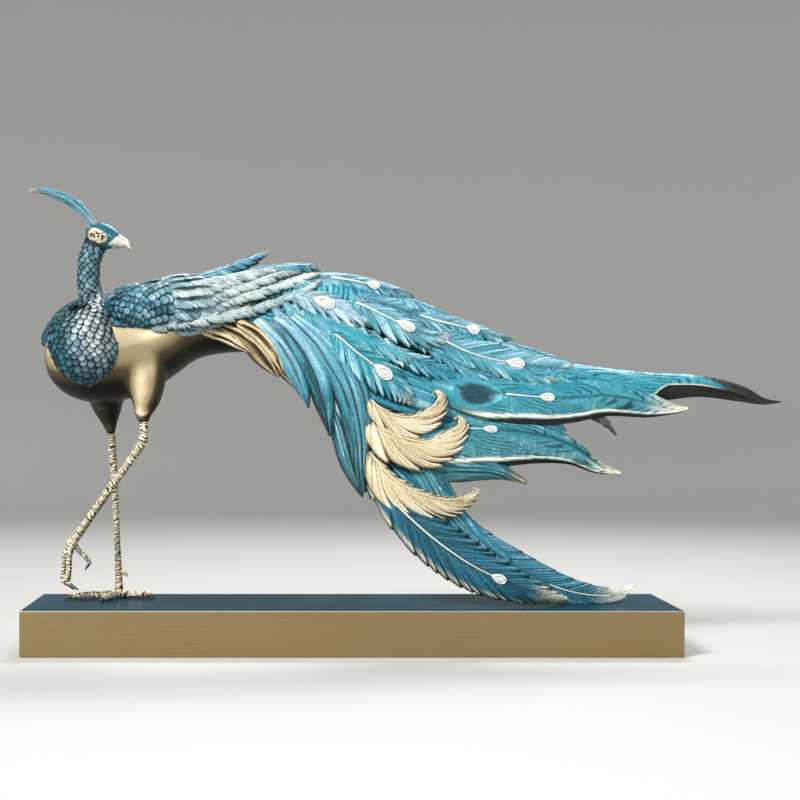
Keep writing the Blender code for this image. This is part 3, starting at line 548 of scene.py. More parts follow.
# Materials
def makePaint(name, look):
    material = bpy.data.materials.new(name)
    material.use_nodes = True
    tree = material.node_tree
    tree.nodes.clear()

    def add(kind, **values):
        made = tree.nodes.new(kind)
        for key, value in values.items():
            setattr(made, key, value)
        return made

    def wire(source, target):
        tree.links.new(source, target)

    def maths(operation, first, second, clamp=False):
        made = add("ShaderNodeMath", operation=operation, use_clamp=clamp)
        for slot, value in enumerate((first, second)):
            if isinstance(value, (int, float)):
                made.inputs[slot].default_value = value
            else:
                wire(value, made.inputs[slot])
        return made.outputs[0]

    def blend(factor, first, second, way="MIX"):
        made = add("ShaderNodeMix", data_type="RGBA", blend_type=way)
        for slot, value in ((0, factor), (6, first), (7, second)):
            if isinstance(value, (int, float)):
                made.inputs[slot].default_value = value
            elif isinstance(value, tuple):
                made.inputs[slot].default_value = (*value, 1)
            else:
                wire(value, made.inputs[slot])
        return made.outputs[2]

    def ramp(factor, stops):
        made = add("ShaderNodeValToRGB")
        made.color_ramp.interpolation = "EASE"
        while len(made.color_ramp.elements) < len(stops):
            made.color_ramp.elements.new(0.5)
        for element, (place, colour) in zip(made.color_ramp.elements, stops):
            element.position = place
            element.color = (*colour, 1)
        wire(factor, made.inputs[0])
        return made.outputs[0]

    def noise(scale, detail, rough=0.55):
        made = add("ShaderNodeTexNoise")
        made.inputs["Scale"].default_value = scale
        made.inputs["Detail"].default_value = detail
        made.inputs["Roughness"].default_value = rough
        wire(coords.outputs["Object"], made.inputs["Vector"])
        return made.outputs["Fac"]

    coords = add("ShaderNodeTexCoord")
    attribute = add("ShaderNodeAttribute", attribute_name="paint")
    channels = add("ShaderNodeSeparateColor")
    wire(attribute.outputs["Color"], channels.inputs[0])
    relief, gild, tone = channels.outputs
    under = attribute.outputs["Alpha"]
    broad = noise(28, 3)
    fine = noise(look.get("fineScale", 420), 6, 0.65)
    worn = maths("ADD", relief, maths("MULTIPLY", maths("SUBTRACT", fine, 0.5), look.get("wear", 0.55)),
                 True)
    main = ramp(worn, look["main"])
    pale = ramp(worn, look["pale"])
    body = blend(tone, main, pale)
    drift = maths("MULTIPLY", maths("SUBTRACT", broad, 0.42, True), 1.6, True)
    body = blend(drift, body, blend(1.0, body, look["cast"], "MULTIPLY"))
    if "deep" in look:
        place = add("ShaderNodeSeparateXYZ")
        wire(coords.outputs["Object"], place.inputs[0])
        height = add("ShaderNodeMapRange", interpolation_type="SMOOTHSTEP")
        # the deep tones set in between these two heights, in metres
        height.inputs["From Min"].default_value = 0.245
        height.inputs["From Max"].default_value = 0.165
        uneven = maths("MULTIPLY", maths("SUBTRACT", broad, 0.5), 0.06)
        wire(maths("ADD", place.outputs["Z"], uneven), height.inputs["Value"])
        body = blend(maths("MULTIPLY", height.outputs[0], 0.8), body, ramp(worn, look["deep"]))
    gold = ramp(worn, look["gold"])
    gildHere = maths("MULTIPLY", gild, maths("ADD", maths("MULTIPLY", fine, 1.2), 0.35), True)
    body = blend(gildHere, body, gold)
    # the underside colour over backs and turned parts: dark bronze, darkened as painted shade
    body = blend(maths("MULTIPLY", under, 0.85), body, blend(worn, look["underDark"], look["underLight"]))
    shader = add("ShaderNodeBsdfPrincipled")
    wire(body, shader.inputs["Base Color"])
    wire(maths("ADD", maths("MULTIPLY", gildHere, 0.5), look["metal"], True), shader.inputs["Metallic"])
    wire(maths("SUBTRACT", look["rough"] + 0.16, maths("MULTIPLY", worn, 0.26)),
         shader.inputs["Roughness"])
    bump = add("ShaderNodeBump")
    bump.inputs["Strength"].default_value = look.get("bump", 0.35)
    bump.inputs["Distance"].default_value = 0.0004
    wire(fine, bump.inputs["Height"])
    wire(bump.outputs[0], shader.inputs["Normal"])
    shader.inputs["Specular IOR Level"].default_value = 0.35
    finish = add("ShaderNodeOutputMaterial")
    wire(shader.outputs[0], finish.inputs[0])
    return material


def shades(low, high, *colours):
    # four colour stops, from the deepest groove to the highest edge
    return list(zip((0.0, low, high, 1.0), colours))


gilt = shades(0.30, 0.58, (0.014, 0.008, 0.003), (0.13, 0.085, 0.035), (0.58, 0.49, 0.31),
              (1.0, 0.97, 0.84))
# underDark and underLight give the blades' underside: dark bronze, darkened further as painted shade
shared = {
    "pale": gilt, "gold": gilt, "underDark": (0.004, 0.003, 0.002), "underLight": (0.075, 0.055, 0.030),
    "metal": 0.15, "rough": 0.42,
}
trainLook = {
    **shared, "cast": (0.42, 0.66, 0.90), "rough": 0.40, "wear": 0.5,
    "main": shades(
        0.26, 0.56, (0.001, 0.006, 0.009), (0.006, 0.055, 0.075), (0.026, 0.26, 0.33), (0.55, 0.88,
            0.90)),
    "pale": shades(
        0.26, 0.56, (0.005, 0.010, 0.015), (0.05, 0.12, 0.16), (0.36, 0.50, 0.56), (0.97, 0.98, 0.97)),
    "deep": shades(
        0.26, 0.56, (0.001, 0.005, 0.007), (0.005, 0.034, 0.046), (0.028, 0.15, 0.18), (0.60, 0.76,
            0.74)),
}
footLook = {
    **trainLook,
    "deep": shades(
        0.26, 0.56, (0.001, 0.004, 0.008), (0.004, 0.032, 0.055), (0.020, 0.14, 0.21), (0.66, 0.84,
            0.86)),
}
wingLook = {
    **shared, "cast": (0.86, 0.80, 0.90), "wear": 0.6,
    "main": shades(
        0.26, 0.56, (0.001, 0.003, 0.006), (0.006, 0.040, 0.060), (0.026, 0.19, 0.26), (0.50, 0.82,
            0.86)),
    "pale": shades(
        0.26, 0.56, (0.004, 0.006, 0.008), (0.055, 0.095, 0.11), (0.54, 0.63, 0.61), (1.0, 1.0, 0.96)),
}
scaleLook = {
    **shared, "cast": (0.72, 0.80, 1.0), "metal": 0.2, "wear": 0.3,
    "main": shades(
        0.30, 0.60, (0.001, 0.003, 0.005), (0.003, 0.026, 0.038), (0.014, 0.125, 0.15), (0.34, 0.64,
            0.66)),
    "pale": shades(
        0.30, 0.60, (0.003, 0.004, 0.005), (0.025, 0.035, 0.040), (0.27, 0.31, 0.31), (0.98, 0.98, 0.93)),
}
giltLook = {**shared, "main": gilt, "cast": (0.84, 0.80, 0.72), "wear": 0.45}
skinLook = {
    **shared, "cast": (0.66, 0.64, 0.56), "metal": 0.45, "rough": 0.38, "wear": 0.10, "bump": 0.06,
    "fineScale": 220,
    "main": shades(
        0.4, 0.7, (0.008, 0.006, 0.003), (0.075, 0.056, 0.028), (0.36, 0.285, 0.155), (0.86, 0.75, 0.52)),
}
legLook = {
    **shared, "cast": (0.85, 0.82, 0.74), "wear": 0.4,
    "main": shades(
        0.3, 0.6, (0.004, 0.003, 0.002), (0.08, 0.055, 0.025), (0.55, 0.47, 0.32), (1.0, 0.95, 0.82)),
}
trainPaint = makePaint("patinaTrain", trainLook)
footPaint = makePaint("patinaFoot", footLook)
wingPaint = makePaint("patinaWing", wingLook)
scalePaint = makePaint("patinaScales", scaleLook)
giltPaint = makePaint("gilt", giltLook)
skinPaint = makePaint("bronzeSkin", skinLook)
legPaint = makePaint("legGold", legLook)
print("materials made")

# Body
body = {
    "trunk": formPlaces([
        (46, 354, 4, -12, 4), (53, 354, 29, -13, 22), (67, 353, 44, -13, 31), (88, 351, 52, -10, 36),
        (110, 349, 53, -4, 38), (132, 345, 50, 2, 38), (152, 337, 45, 8, 36), (172, 327, 41, 14, 33),
        (195, 320, 38, 20, 29), (225, 317, 36, 26, 26), (255, 320, 32, 28, 22), (285, 328, 18, 27, 12),
    ]),
    "thighs": [
        formPlaces([
            (140, 352, 24, -12, 19), (145, 378, 21, -15, 18), (145.5, 398, 15.5, -18, 14),
            (143.5, 412, 9.5, -20, 9), (143.5, 423, 4.8, -20, 4.6),
        ]),
        formPlaces([
            (106, 378, 22, 4, 18), (106.5, 397, 18.5, 8, 16), (108, 411, 13.5, 11, 12),
            (110, 424, 7.5, 13, 7), (111, 434, 4.2, 14, 4),
        ]),
    ],
    "wing": formPlaces([
        (104, 303, 3, -25, 5), (114, 307, 14, -24, 20), (130, 310, 22, -20, 24),
        (155, 309, 25.5, -14, 23), (182, 307, 25.5, -5, 19), (208, 304, 21, 5, 13),
        (235, 300, 14, 12, 9), (262, 294, 5, 17, 5),
    ]),
    "farWing": formPlaces([
        (43, 344, 2, 10, 3), (48, 341, 10, 13, 8), (60, 335, 17, 20, 12), (76, 327, 20, 30, 14),
        (100, 317, 20, 40, 15), (140, 308, 20, 48, 14), (180, 300, 19, 50, 12), (220, 297, 17, 48, 10),
        (260, 296, 10, 43, 7),
    ]),
}
bodyMeshes = [rounded(body["trunk"], 90, 64)]
bodyMeshes += [rounded(thigh, 40, 32) for thigh in body["thighs"]]
belly = joined("belly", bodyMeshes, skinPaint)


def blendForms(piece, voxel, rounds, melts):
    # melts overlapping forms into one skin and eases the creases between them
    remesh = piece.modifiers.new("blend", "REMESH")
    remesh.mode = "VOXEL"
    remesh.voxel_size = voxel * mm
    ease = piece.modifiers.new("ease", "SMOOTH")
    ease.factor = 0.6
    ease.iterations = rounds
    bpy.context.view_layer.update()
    blended = bpy.data.meshes.new_from_object(piece.evaluated_get(bpy.context.evaluated_depsgraph_get()))
    piece.modifiers.clear()
    piece.data = blended
    blended.polygons.foreach_set("use_smooth", [True] * len(blended.polygons))
    work = bmesh.new()
    work.from_mesh(blended)
    for centre, radius, times in melts:
        # the creases near these spots are eased much further
        near = [vert for vert in work.verts if (vert.co - Vector(centre) * mm).length < radius * mm]
        for _ in range(times):
            bmesh.ops.smooth_vert(
                work, verts=near, factor=0.8, use_axis_x=True, use_axis_y=True, use_axis_z=True)
    work.to_mesh(blended)
    work.free()
    normals = np.empty(len(blended.vertices) * 3)
    blended.vertex_normals.foreach_get("vector", normals)
    normals = normals.reshape(-1, 3)
    # painted highlight on the faces turned up, to the left, forwards and backwards, and painted shade on
    # the faces turned down
    toLight = -0.30 * normals[:, 0] + 0.80 * np.abs(normals[:, 1]) + 0.52 * normals[:, 2]
    relief = 0.16 + 0.80 * smoothStep(0.0, 0.95, toLight) - 0.30 * smoothStep(-0.1, -0.8, normals[:, 2])
    # the first paint channel holds this painted highlight and shade, not carved relief
    paint = np.stack([relief, relief * 0, relief * 0, relief * 0], axis=1)
    layer = blended.attributes.new("paint", "FLOAT_COLOR", "POINT")
    layer.data.foreach_set("color", np.clip(paint, 0, 1).astype(np.float32).ravel())


blendForms(belly, 1.3, 14, [((-176, -38, 226), 30, 45), ((-196, 20, 220), 20, 20)])

# Neck, breast and their scales
breast = {
    # neck and breast as one upright form, head end first
    "form": formPlaces([
        (98, 232, 8, -12, 6), (97, 240, 12, -12, 9.5), (93, 250, 11.6, -12, 9.8),
        (89.5, 262, 11.2, -12, 9.8), (88.5, 278, 11.2, -12, 9.8), (90, 292, 11.8, -12.5, 10.8),
        (92.5, 303, 13.8, -14, 16), (94, 313, 18.5, -16, 25), (92, 323, 27, -18, 33),
        (89, 335, 36.5, -19, 36), (87.5, 347, 40.5, -19, 37), (86.5, 360, 38, -19, 36),
        (86, 371, 31, -18, 31), (86, 379, 21, -17, 23), (86, 383.5, 9, -16, 12), (86, 384.5, 2, -16, 3),
    ]),
    # x and z in mm of the line where the feathered skin ends above the bare belly
    "edge": (
        (-256, -251, -241, -231, -210, -195, -187.5, -180),
        (262, 251.5, 237, 227.4, 224.5, 229, 236, 240),
    ),
}
breastScales = {
    "from": 0.085, "until": 0.965,     # shares of the form's length
    "sizes": (6.2, 7.4, 0.15, 0.6),    # width at the head and on the breast in mm, and where it grows
    "overlap": 0.60,                   # distance between rows as a share of a scale
    "lift": 0.95,                      # how far a scale's free edge stands off, in mm
}
trunkScales = {
    "from": 0.02, "until": 0.69, "sizes": (7.4, 9.5, 0.1, 0.9), "overlap": 0.56, "lift": 0.95,
    "rootLift": 0.7,
}


def scaleMesh(root, forward, outward, length, width, lift, tone, light, bends):
    # one rounded scale: raised rim, ringed groove, the free end standing off
    side = np.cross(forward, outward)

    def shape(a, b):
        turn = b * 2 * math.pi
        rim = np.minimum(a / 0.8, 1)
        along = 0.5 + 0.5 * np.cos(turn) * rim
        across = np.sin(turn) * rim * (0.80 + 0.20 * along)
        profile = np.interp(rim, (0, 0.5, 0.75, 1), (0.30, 0.15, -0.22, 0.05))
        height = lift * (0.1 + 1.0 * along) + lift * profile - lift * 1.7 * (a > 0.81)
        ahead, aside = along * length, across * width * 0.5
        height = height + 0.5 * bends[0] * ahead ** 2 + 0.5 * bends[1] * aside ** 2
        points = root + forward * ahead[:, None] + side * aside[:, None] + outward * height[:, None]
        shade = np.interp(rim, (0, 0.55, 0.82, 1), (0.82, 0.95, 0.66, 0.22))
        relief = (0.42 + light + 0.50 * along) * shade * (1 - 0.97 * (a > 0.81))
        return points, np.stack([relief, np.zeros_like(a), np.full_like(a, tone), np.zeros_like(a)],
                                axis=1)

    return wrapGrid(5, 10, shape)


def scaleRows(curve, rows, toneAt, keep=None):
    # staggered rows of scales on a rounded form, pointing along it
    start, stop, sizes = rows["from"], rows["until"], rows["sizes"]
    rootLift = rows.get("rootLift", -0.35)
    meshes = []
    place, row = start, 0
    while place < stop:
        share = (place - start) / (stop - start)
        size = (sizes[0] + (sizes[1] - sizes[0]) * smoothStep(sizes[2], sizes[3], share)) * mm
        middle = evenly(curve, np.array([place]))[0][0]
        girth = 2 * math.pi * math.sqrt((middle[3] ** 2 + middle[4] ** 2) / 2)
        count = max(5, int(girth / (size * 0.92)))
        turns = (np.arange(count) + 0.5 * (row % 2)) / count
        here = np.full(count, place)
        points, outward = ringAt(curve, here, turns)[:2]
        ahead = ringAt(curve, np.minimum(here + 0.012, 1), turns)[0]
        behind = ringAt(curve, np.maximum(here - 0.012, 0), turns)[0]
        down = unit(ahead - behind)
        outward = unit(outward - down * np.sum(outward * down, axis=1)[:, None])
        left, right = np.roll(points, 1, axis=0), np.roll(points, -1, axis=0)
        bends = []
        for one, other in ((ahead, behind), (left, right)):
            reach = np.sum((one - other) ** 2, axis=1) / 4 + 1e-9
            bends.append(np.sum((one + other - 2 * points) * outward, axis=1) / reach)
        bends = np.clip(np.stack(bends, axis=1), -1 / (9 * mm), 0)
        for i in range(count):
            if keep and not keep(points[i], outward[i]):
                continue
            vary = math.sin(i * 2.3 + row * 1.9)
            level = 1 if stop < 0.7 else abs(down[i][2])
            tone = toneAt(points[i])
            root = points[i] + outward[i] * rootLift * mm + down[i] * size * 0.1 * math.sin(i * 4.1 + row)
            length, width = size * (1.12 + 0.08 * vary), size * 1.06
            lift = rows["lift"] * mm * size / (8 * mm) * min(1, 0.3 + level)
            light = 0.12 * vary - 0.20 * (1 - tone) ** 2
            meshes.append(scaleMesh(root, down[i], outward[i], length, width, lift, tone, light,
                                    bends[i]))
        spans = np.linalg.norm(ahead - behind, axis=1)
        surface = (spans.mean() + spans.max()) / 0.048
        place += size * rows["overlap"] / max(surface, 1e-6)
        row += 1
    return meshes


def breastTone(point):
    # pale in the middle of the breast and low on the neck, blue towards the edges
    across = (point[0] / mm + 211 + 0.12 * (point[2] / mm - 262)) / 18
    up = (point[2] / mm - 266) / (44 if point[2] > 266 * mm else 25)
    neck = 0.34 * smoothStep(286, 300, point[2] / mm)
    return min(0.95, max(neck, math.exp(-(across ** 2) - up ** 2)))


def breastBase(a, b, run, points):
    return np.full_like(a, -0.4 * mm), {0: np.full_like(a, 0.12)}


def aboveEdge(point, normal):
    x, z = point[0] / mm, point[2] / mm
    return z > np.interp(x, breast["edge"][0], breast["edge"][1])


def onShoulder(point, normal):
    # the front of the trunk between breast and wings, and the back between the wings
    return normal[2] > 0.35 or (point[0] < -224 * mm and aboveEdge(point, normal))


def trunkTone(point):
    return 0.12


breastMeshes = [rounded(breast["form"], 70, 40, breastBase)]
breastMeshes += scaleRows(curveThrough(breast["form"]), breastScales, breastTone, aboveEdge)
breastMeshes += scaleRows(curveThrough(body["trunk"]), trunkScales, trunkTone, onShoulder)
joined("breastScales", breastMeshes, scalePaint)

# Head
head = {
    "skull": formPlaces([
        (86, 234, 3, -12, 3), (89, 234, 9, -12, 7), (96, 236, 13.5, -12, 10),
        (104, 237, 13.5, -12, 10.5), (112, 239, 10.5, -12, 8.5), (118, 241, 7, -12, 6),
        (122, 242, 4.6, -12, 4.2),
    ]),
    "beak": formPlaces([
        (112, 242, 7.5, -12, 5.5), (119, 242, 6.4, -12, 5), (125, 243.5, 4.4, -12, 3.6),
        (129, 247, 2.2, -12, 2), (131, 250, 0.5, -12, 0.5),
    ]),
    "eye": (-212.0, 348.2),         # x and z of the eye's centre, in mm
    "patch": (8.4, 6.2),            # half length and half height of the pale patch round the eye
    "cheek": (-204.2, 341.4),       # a point on the line where the pale cheek begins
    "mouth": (-203.0, 341.8),       # back end of the mouth
    "eyeDepths": (-21.9, -2.1),     # y of the near and the far eye's centre
    "iris": (2.4, 0.9, 1.7),        # half sizes in mm
    "pupil": (1.4, 0.9, 1.3),
}


def skullCarve(a, b, run, points):
    x, z = points[:, 0] / mm, points[:, 2] / mm
    eyeX, eyeZ = head["eye"]
    dx, dz = x - eyeX + 0.8, z - eyeZ
    halfLength, halfHeight = head["patch"]
    taper = 1 - 0.35 * np.tanh(dx / 8)
    gap = np.sqrt((dx / halfLength) ** 2 + ((dz + 0.22 * dx) / (halfHeight * taper)) ** 2)
    patch = smoothStep(1.06, 0.94, gap)
    rim = bell(gap - 1.12, 0.07)
    opening = np.sqrt(((dx - 0.8) / 3.3) ** 2 + ((dz + 0.15 * dx) / 2.1) ** 2)
    lid = bell(opening - 1.1, 0.16)
    upperCrease = bell(dz - 3.6 + 0.35 * dx, 0.5) * smoothStep(7, 5, np.abs(dx + 1))
    lowerCrease = 0.7 * bell(dz + 3.6 - 0.12 * dx, 0.5) * smoothStep(6, 4, np.abs(dx - 0.5))
    lid = np.maximum(lid, 0.6 * (upperCrease + lowerCrease))
    brow = bell(dz - 4.6 + 0.42 * dx, 1.0) * smoothStep(13, 8, np.abs(dx))
    # the cheek in front of this slanting line, and above the chin, belongs to the pale beak
    ahead, above = x - head["cheek"][0], z - head["cheek"][1]
    cheek = smoothStep(-0.4, 0.5, ahead * 0.67 - above * 0.745)
    cheek = cheek * smoothStep(-0.6, 0.4, above + 0.28 * ahead + 0.2)
    height = patch * 0.25 * mm + brow * 0.7 * mm - rim * 0.35 * mm - lid * 0.5 * mm + cheek * 0.3 * mm
    pale = np.maximum(patch, cheek)
    shading = (np.exp(-((dx + 4.6) / 2.2) ** 2 - ((dz - 1.6) / 2.2) ** 2)
               + 0.8 * np.exp(-((dx - 5.0) / 2.2) ** 2 - ((dz + 0.6) / 1.3) ** 2))
    relief = (0.60 + 0.35 * brow + 0.26 * cheek + 0.12 * patch - 0.30 * rim - 0.9 * lid
              - 0.62 * patch * shading)
    return height, {0: relief, 1: pale}


def beakCarve(a, b, run, points):
    # the line of the mouth, and a nostril above it
    ahead, above = points[:, 0] / mm - head["mouth"][0], points[:, 2] / mm - head["mouth"][1]
    mouth = bell(above + 0.30 * ahead + 0.018 * ahead ** 2, 0.32)
    nostril = np.exp(-((ahead - 4.5) / 1.3) ** 2 - ((above - 2.2) / 0.5) ** 2)
    mark = np.maximum(mouth, nostril)
    return -mark * 0.35 * mm, {0: 0.84 - 0.7 * mark, 1: np.full_like(a, 0.95)}


def ball(centre, radii, paint):
    def shape(a, b):
        polar, turn = a * math.pi, b * 2 * math.pi
        x, y = np.sin(polar) * np.cos(turn) * radii[0], np.cos(polar) * radii[1]
        z = np.sin(polar) * np.sin(turn) * radii[2]
        points = np.stack([x, y, z], axis=1) * mm
        colours = np.tile(np.array(paint, float), (len(a), 1))
        return points + np.array(centre) * mm, colours
    return wrapGrid(14, 18, shape)


skull = rounded(head["skull"], 60, 44, skullCarve)
beak = rounded(head["beak"], 34, 24, beakCarve)
eyeX, eyeZ = head["eye"]
eyes = []
for sign, y in zip((-1, 1), head["eyeDepths"]):
    eyes.append(ball((eyeX, y, eyeZ), head["iris"], (0.95, 1.0, 0, 0)))
    eyes.append(ball((eyeX, y + sign * 0.35, eyeZ), head["pupil"], (0.0, 0.0, 0, 0)))
joined("head", [skull, beak] + eyes, scalePaint)

crest = {"depth": 0.6, "strands": 3, "groove": 0.7, "grooveWide": 0.14, "rise": 0.18}
crestFeathers = [
    ({"kind": "strand", "tip": 1.0, "tone": 0.9}, (0, 0, 0, 3.2), 14, [
        (98, 229, 2.2), (77, 205, 2.7), (57, 193, 2.8), (41, 189, 2.5), (27, 191, 0.7),
    ]),
    ({"kind": "strand", "tip": 0.8, "tone": 0.7}, (0, 0, 0, 3.2), 10, [
        (98, 230, 2.2), (81, 213, 2.5), (66, 202, 2.6), (48, 195, 2.2), (35, 193, 0.7),
    ]),
    ({"kind": "strand", "tip": 0.6, "tone": 0.5}, (0, 0, 0, 3), 12, [
        (98, 228, 2.2), (82, 205, 2.2), (66, 195, 2.2), (50, 189, 0.9),
    ]),
]
slender = []
for options, form, layer, places in crestFeathers:
    # the solid's crest is stouter
    slender.append((options, form, layer, [(column, row, half * 0.78) for column, row, half in places]))
featherSet("crest", crest, slender, trainPaint, middleDepth)
print("head and crest made")

# Legs
legs = {
    "limbs": [
        formPlaces([
            (143.5, 416, 4.1, -20, 3.8), (144, 430, 4.1, -21, 3.8), (142, 442, 4.7, -21, 4.3),
            (132, 458, 4.1, -17, 3.8), (116, 480, 3.9, -12, 3.6), (96, 508, 3.8, -6, 3.5),
            (80, 531, 4, -3, 3.8), (72.5, 542, 4.6, -2, 4.4),
        ]),
        formPlaces([
            (111, 428, 4, 14, 3.8), (112, 450, 3.4, 17, 3.2), (114, 480, 3, 21, 2.9),
            (116, 515, 3, 26, 2.9), (117.5, 550, 3, 30, 2.9), (118.5, 575, 3.4, 33, 3.3),
            (119, 588, 4, 34, 4), (119, 593, 4.4, 34, 4.4),
        ]),
    ],
    "hangingToes": [
        formPlaces([
            (73, 541, 4.2, -2, 4), (69, 555, 3.2, -5, 3.2), (68.5, 572, 3, -7, 3), (66, 580, 3, -8, 2.8),
            (72, 586, 1.8, -9, 1.8), (79, 590, 0.5, -9, 0.5),
        ]),
        formPlaces([
            (71, 541, 3.6, 0, 3.4), (65, 555, 2.8, 2, 2.8), (63.5, 570, 2.6, 3, 2.6),
            (63, 580, 2.6, 3, 2.4), (68, 585, 1.5, 3, 1.5), (74, 590, 0.5, 3, 0.5),
        ]),
        formPlaces([
            (73, 542, 3, -2, 3), (80, 552, 2.4, 2, 2.4), (87, 559, 2.2, 5, 2.2), (89, 563, 2, 6, 2),
            (85, 570, 0.6, 6, 0.6),
        ]),
    ],
    "flatToes": [
        toePlaces([
            (118, 34, 4), (104, 31, 3.2), (92, 29, 3.3), (80, 28, 2.6), (70, 27, 1.8), (64, 26, 0.6),
        ]),
        toePlaces([
            (119, 34, 4), (130, 36, 3), (141, 37, 3.1), (149, 38, 2.4), (155, 39, 0.6),
        ]),
        toePlaces([
            (118, 34, 3.8), (112, 24, 3), (107, 14, 3), (103, 6, 2.2), (100, 0, 0.6),
        ]),
        toePlaces([
            (119, 34, 3.6), (124, 43, 2.6), (128, 50, 2.2), (131, 56, 0.6),
        ]),
    ],
    "ringPitch": 2.5,
    "ringDepth": 0.5,
    "spur": [(-197.5, 31, 62, 2.2, 2.2), (-194.5, 31, 60.5, 2.0, 2.0), (-191.5, 31, 57.5, 0.5, 0.5)],
}


def ringCarve(seed, clawFrom=2.0):
    def carve(a, b, run, points):
        phase = run / (legs["ringPitch"] * mm) + 0.22 * np.sin(b * 4 * math.pi + seed)
        phase = phase + 0.9 * wobble(run / mm * 0.13, seed)
        phase = phase + 0.25 * wobble(run / mm * 0.3 + b * 5, seed + 2)
        part = phase - np.floor(phase)
        groove = bell(np.minimum(part, 1 - part), 0.22)
        groove = groove * (0.75 + 0.35 * np.sin(np.floor(phase) * 2.7 + b * 9))
        seam = bell(np.abs(np.sin((b * 2 + 0.25) * math.pi)), 0.16)
        claw = smoothStep(clawFrom, clawFrom + 0.03, a)
        ends = smoothStep(0, 0.03, a) * smoothStep(1, 0.97, a) * (1 - claw)
        height = -(groove * 0.9 + seam * 0.35 - 0.25) * legs["ringDepth"] * mm * ends
        relief = (0.80 + 0.12 * np.sin(np.floor(phase) * 1.9 + b * 12) - 0.95 * groove * ends
                  - 0.3 * seam * ends - 0.5 * claw)
        return height, {0: relief}
    return carve


legMeshes = [rounded(limb, 340, 20, ringCarve(3.1 * i)) for i, limb in enumerate(legs["limbs"])]
for i, toe in enumerate(legs["hangingToes"]):
    legMeshes.append(rounded(toe, 110, 16, ringCarve(1.7 * i, 0.80)))
for i, toe in enumerate(legs["flatToes"]):
    legMeshes.append(rounded(toe, 120, 16, ringCarve(2.3 * i, 0.84), flat=True))
legMeshes.append(rounded(legs["spur"], 20, 12))
joined("legs", legMeshes, legPaint)
print("legs made")

# Wings
wing = {"barb": 2.3, "gather": (5, 7, 9), "lean": 1.3, "depth": 0.6, "notch": 2.0, "splitFrom": 0.45,
        "quill": 0.35, "quillGild": 0.0, "shade": 0.26, "outline": 0.42, "sink": 5.0, "sinkOver": 0.24}
covertLook = {"barb": 2.0, "gather": (3, 4), "lean": 1.4, "depth": 0.6, "notch": 1.2, "splitFrom": 0.6,
              "quill": 0.0, "shade": 0.20, "outline": 0.42}
wingScales = {"from": 0.03, "until": 0.56, "sizes": (7.0, 13.0, 0.2, 1.0), "overlap": 0.60, "lift": 1.15}
coverts = {"rows": [(0.44, 9, 24, 14), (0.53, 8, 28, 15.5), (0.62, 8, 30, 15.5), (0.70, 8, 28, 15.5)],
           "arc": (0.0, 0.52)}


def wingTone(point):
    share = (point[0] / mm + 190) / 55
    return min(0.95, max(0.05, share * 0.5 + 0.24 * math.sin(point[0] / mm * 0.9 + point[2] / mm * 0.7)))


def wingBase(a, b, run, points):
    # dark skin between the scales, paler towards the back
    return np.zeros_like(a), {0: np.full_like(a, 0.34), 2: 0.5 * smoothStep(0.3, 0.6, a)}


def covertFeathers(stations, side):
    # rows of short overlapping feathers over the base of the wing
    curve = curveThrough(stations)
    whole = evenly(curve, np.array([1.0]))[2]
    specs = []
    for row, (place, count, length, width) in enumerate(coverts["rows"]):
        low, high = coverts["arc"]
        for i in range(count):
            turn = low + (high - low) * (i + 0.5 * (row % 2)) / count
            turn = -turn if side < 0 else turn
            steps = np.array([0, 0.33, 0.66, 0.88, 1.0])
            spots = np.clip(place - 0.06 + steps * length * mm / whole, 0, 1)
            points, outward, forward, run, total = ringAt(curve, spots, np.full(5, turn))
            lift = (np.array([0.5, 2.0, 2.8, 2.6, 2.2]) + 0.35 * row) * mm
            points = points + outward * lift[:, None]
            out = outward[2]
            # each lies over the next one down, like a roof tile
            tilt = math.degrees(math.atan2(out[2], -out[1])) - 14 * side
            widths = np.array([0.8, 1.1, 1.15, 0.95, 0.35]) * width * 0.5
            path = [(*(points[k] / mm), widths[k] * 1.1) for k in range(5)]
            specs.append(({"tone": wingTone(points[2])}, (tilt, tilt, 1.0, 2.0), path))
    return specs


longFeathers = [
    ({"tone": 0.8}, (20, 20, 3, 5), 2, [
        (170, 324, 8), (210, 320, 8), (250, 312, 7), (290, 299, 7), (310, 289, 5), (321, 280, 1),
    ]),
    ({"tone": 0.9}, (30, 30, 3, 5), 0, [
        (170, 312, 8), (210, 308, 8), (250, 297, 8), (290, 284, 7), (308, 278, 5), (320, 274, 1),
    ]),
    ({"tone": 0.7}, (35, 35, 3, 5), 2, [
        (165, 303, 8), (205, 299, 8), (245, 288, 8), (280, 277, 6), (297, 273, 1),
    ]),
    ({"tone": 0.95}, (42, 42, 3, 5), 3, [
        (165, 295, 7), (200, 292, 8), (235, 284, 7), (262, 275, 5), (277, 271, 1),
    ]),
    ({"tone": 0.9}, (50, 50, 3, 5), 4, [
        (165, 288, 6), (200, 286, 7), (230, 280, 6), (250, 275, 4), (262, 271, 1),
    ]),
]
topFeathers = [
    ({"tone": 0.0, "tip": 0.3}, (50, 35, 3, 5), -6, [
        (185, 283, 7), (214, 276, 9), (239, 267.5, 8.5), (256, 259.5, 6.5), (269, 252.5, 1),
    ]),
    ({"tone": 0.15}, (50, 40, 3, 6), -4, [
        (215, 288, 10), (250, 277, 12), (284, 271, 10), (307, 269.5, 6.5), (321, 270.5, 1.5),
    ]),
]
middleFeathers = [
    ({"tone": 0.3}, (15, 15, 3, 5), 3, [(135, 318, 8), (165, 322, 9), (198, 321, 8), (222, 318, 2)]),
    ({"tone": 0.3}, (25, 25, 3, 5), 7, [(138, 308, 9), (168, 310, 10), (198, 308, 8), (218, 303, 2)]),
    ({"tone": 0.3}, (45, 45, 3, 5), 7, [(138, 292, 8), (160, 290, 8), (183, 287, 6), (203, 281, 2)]),
]
farTones = (0.6, 0.7, 0.6, 0.8)


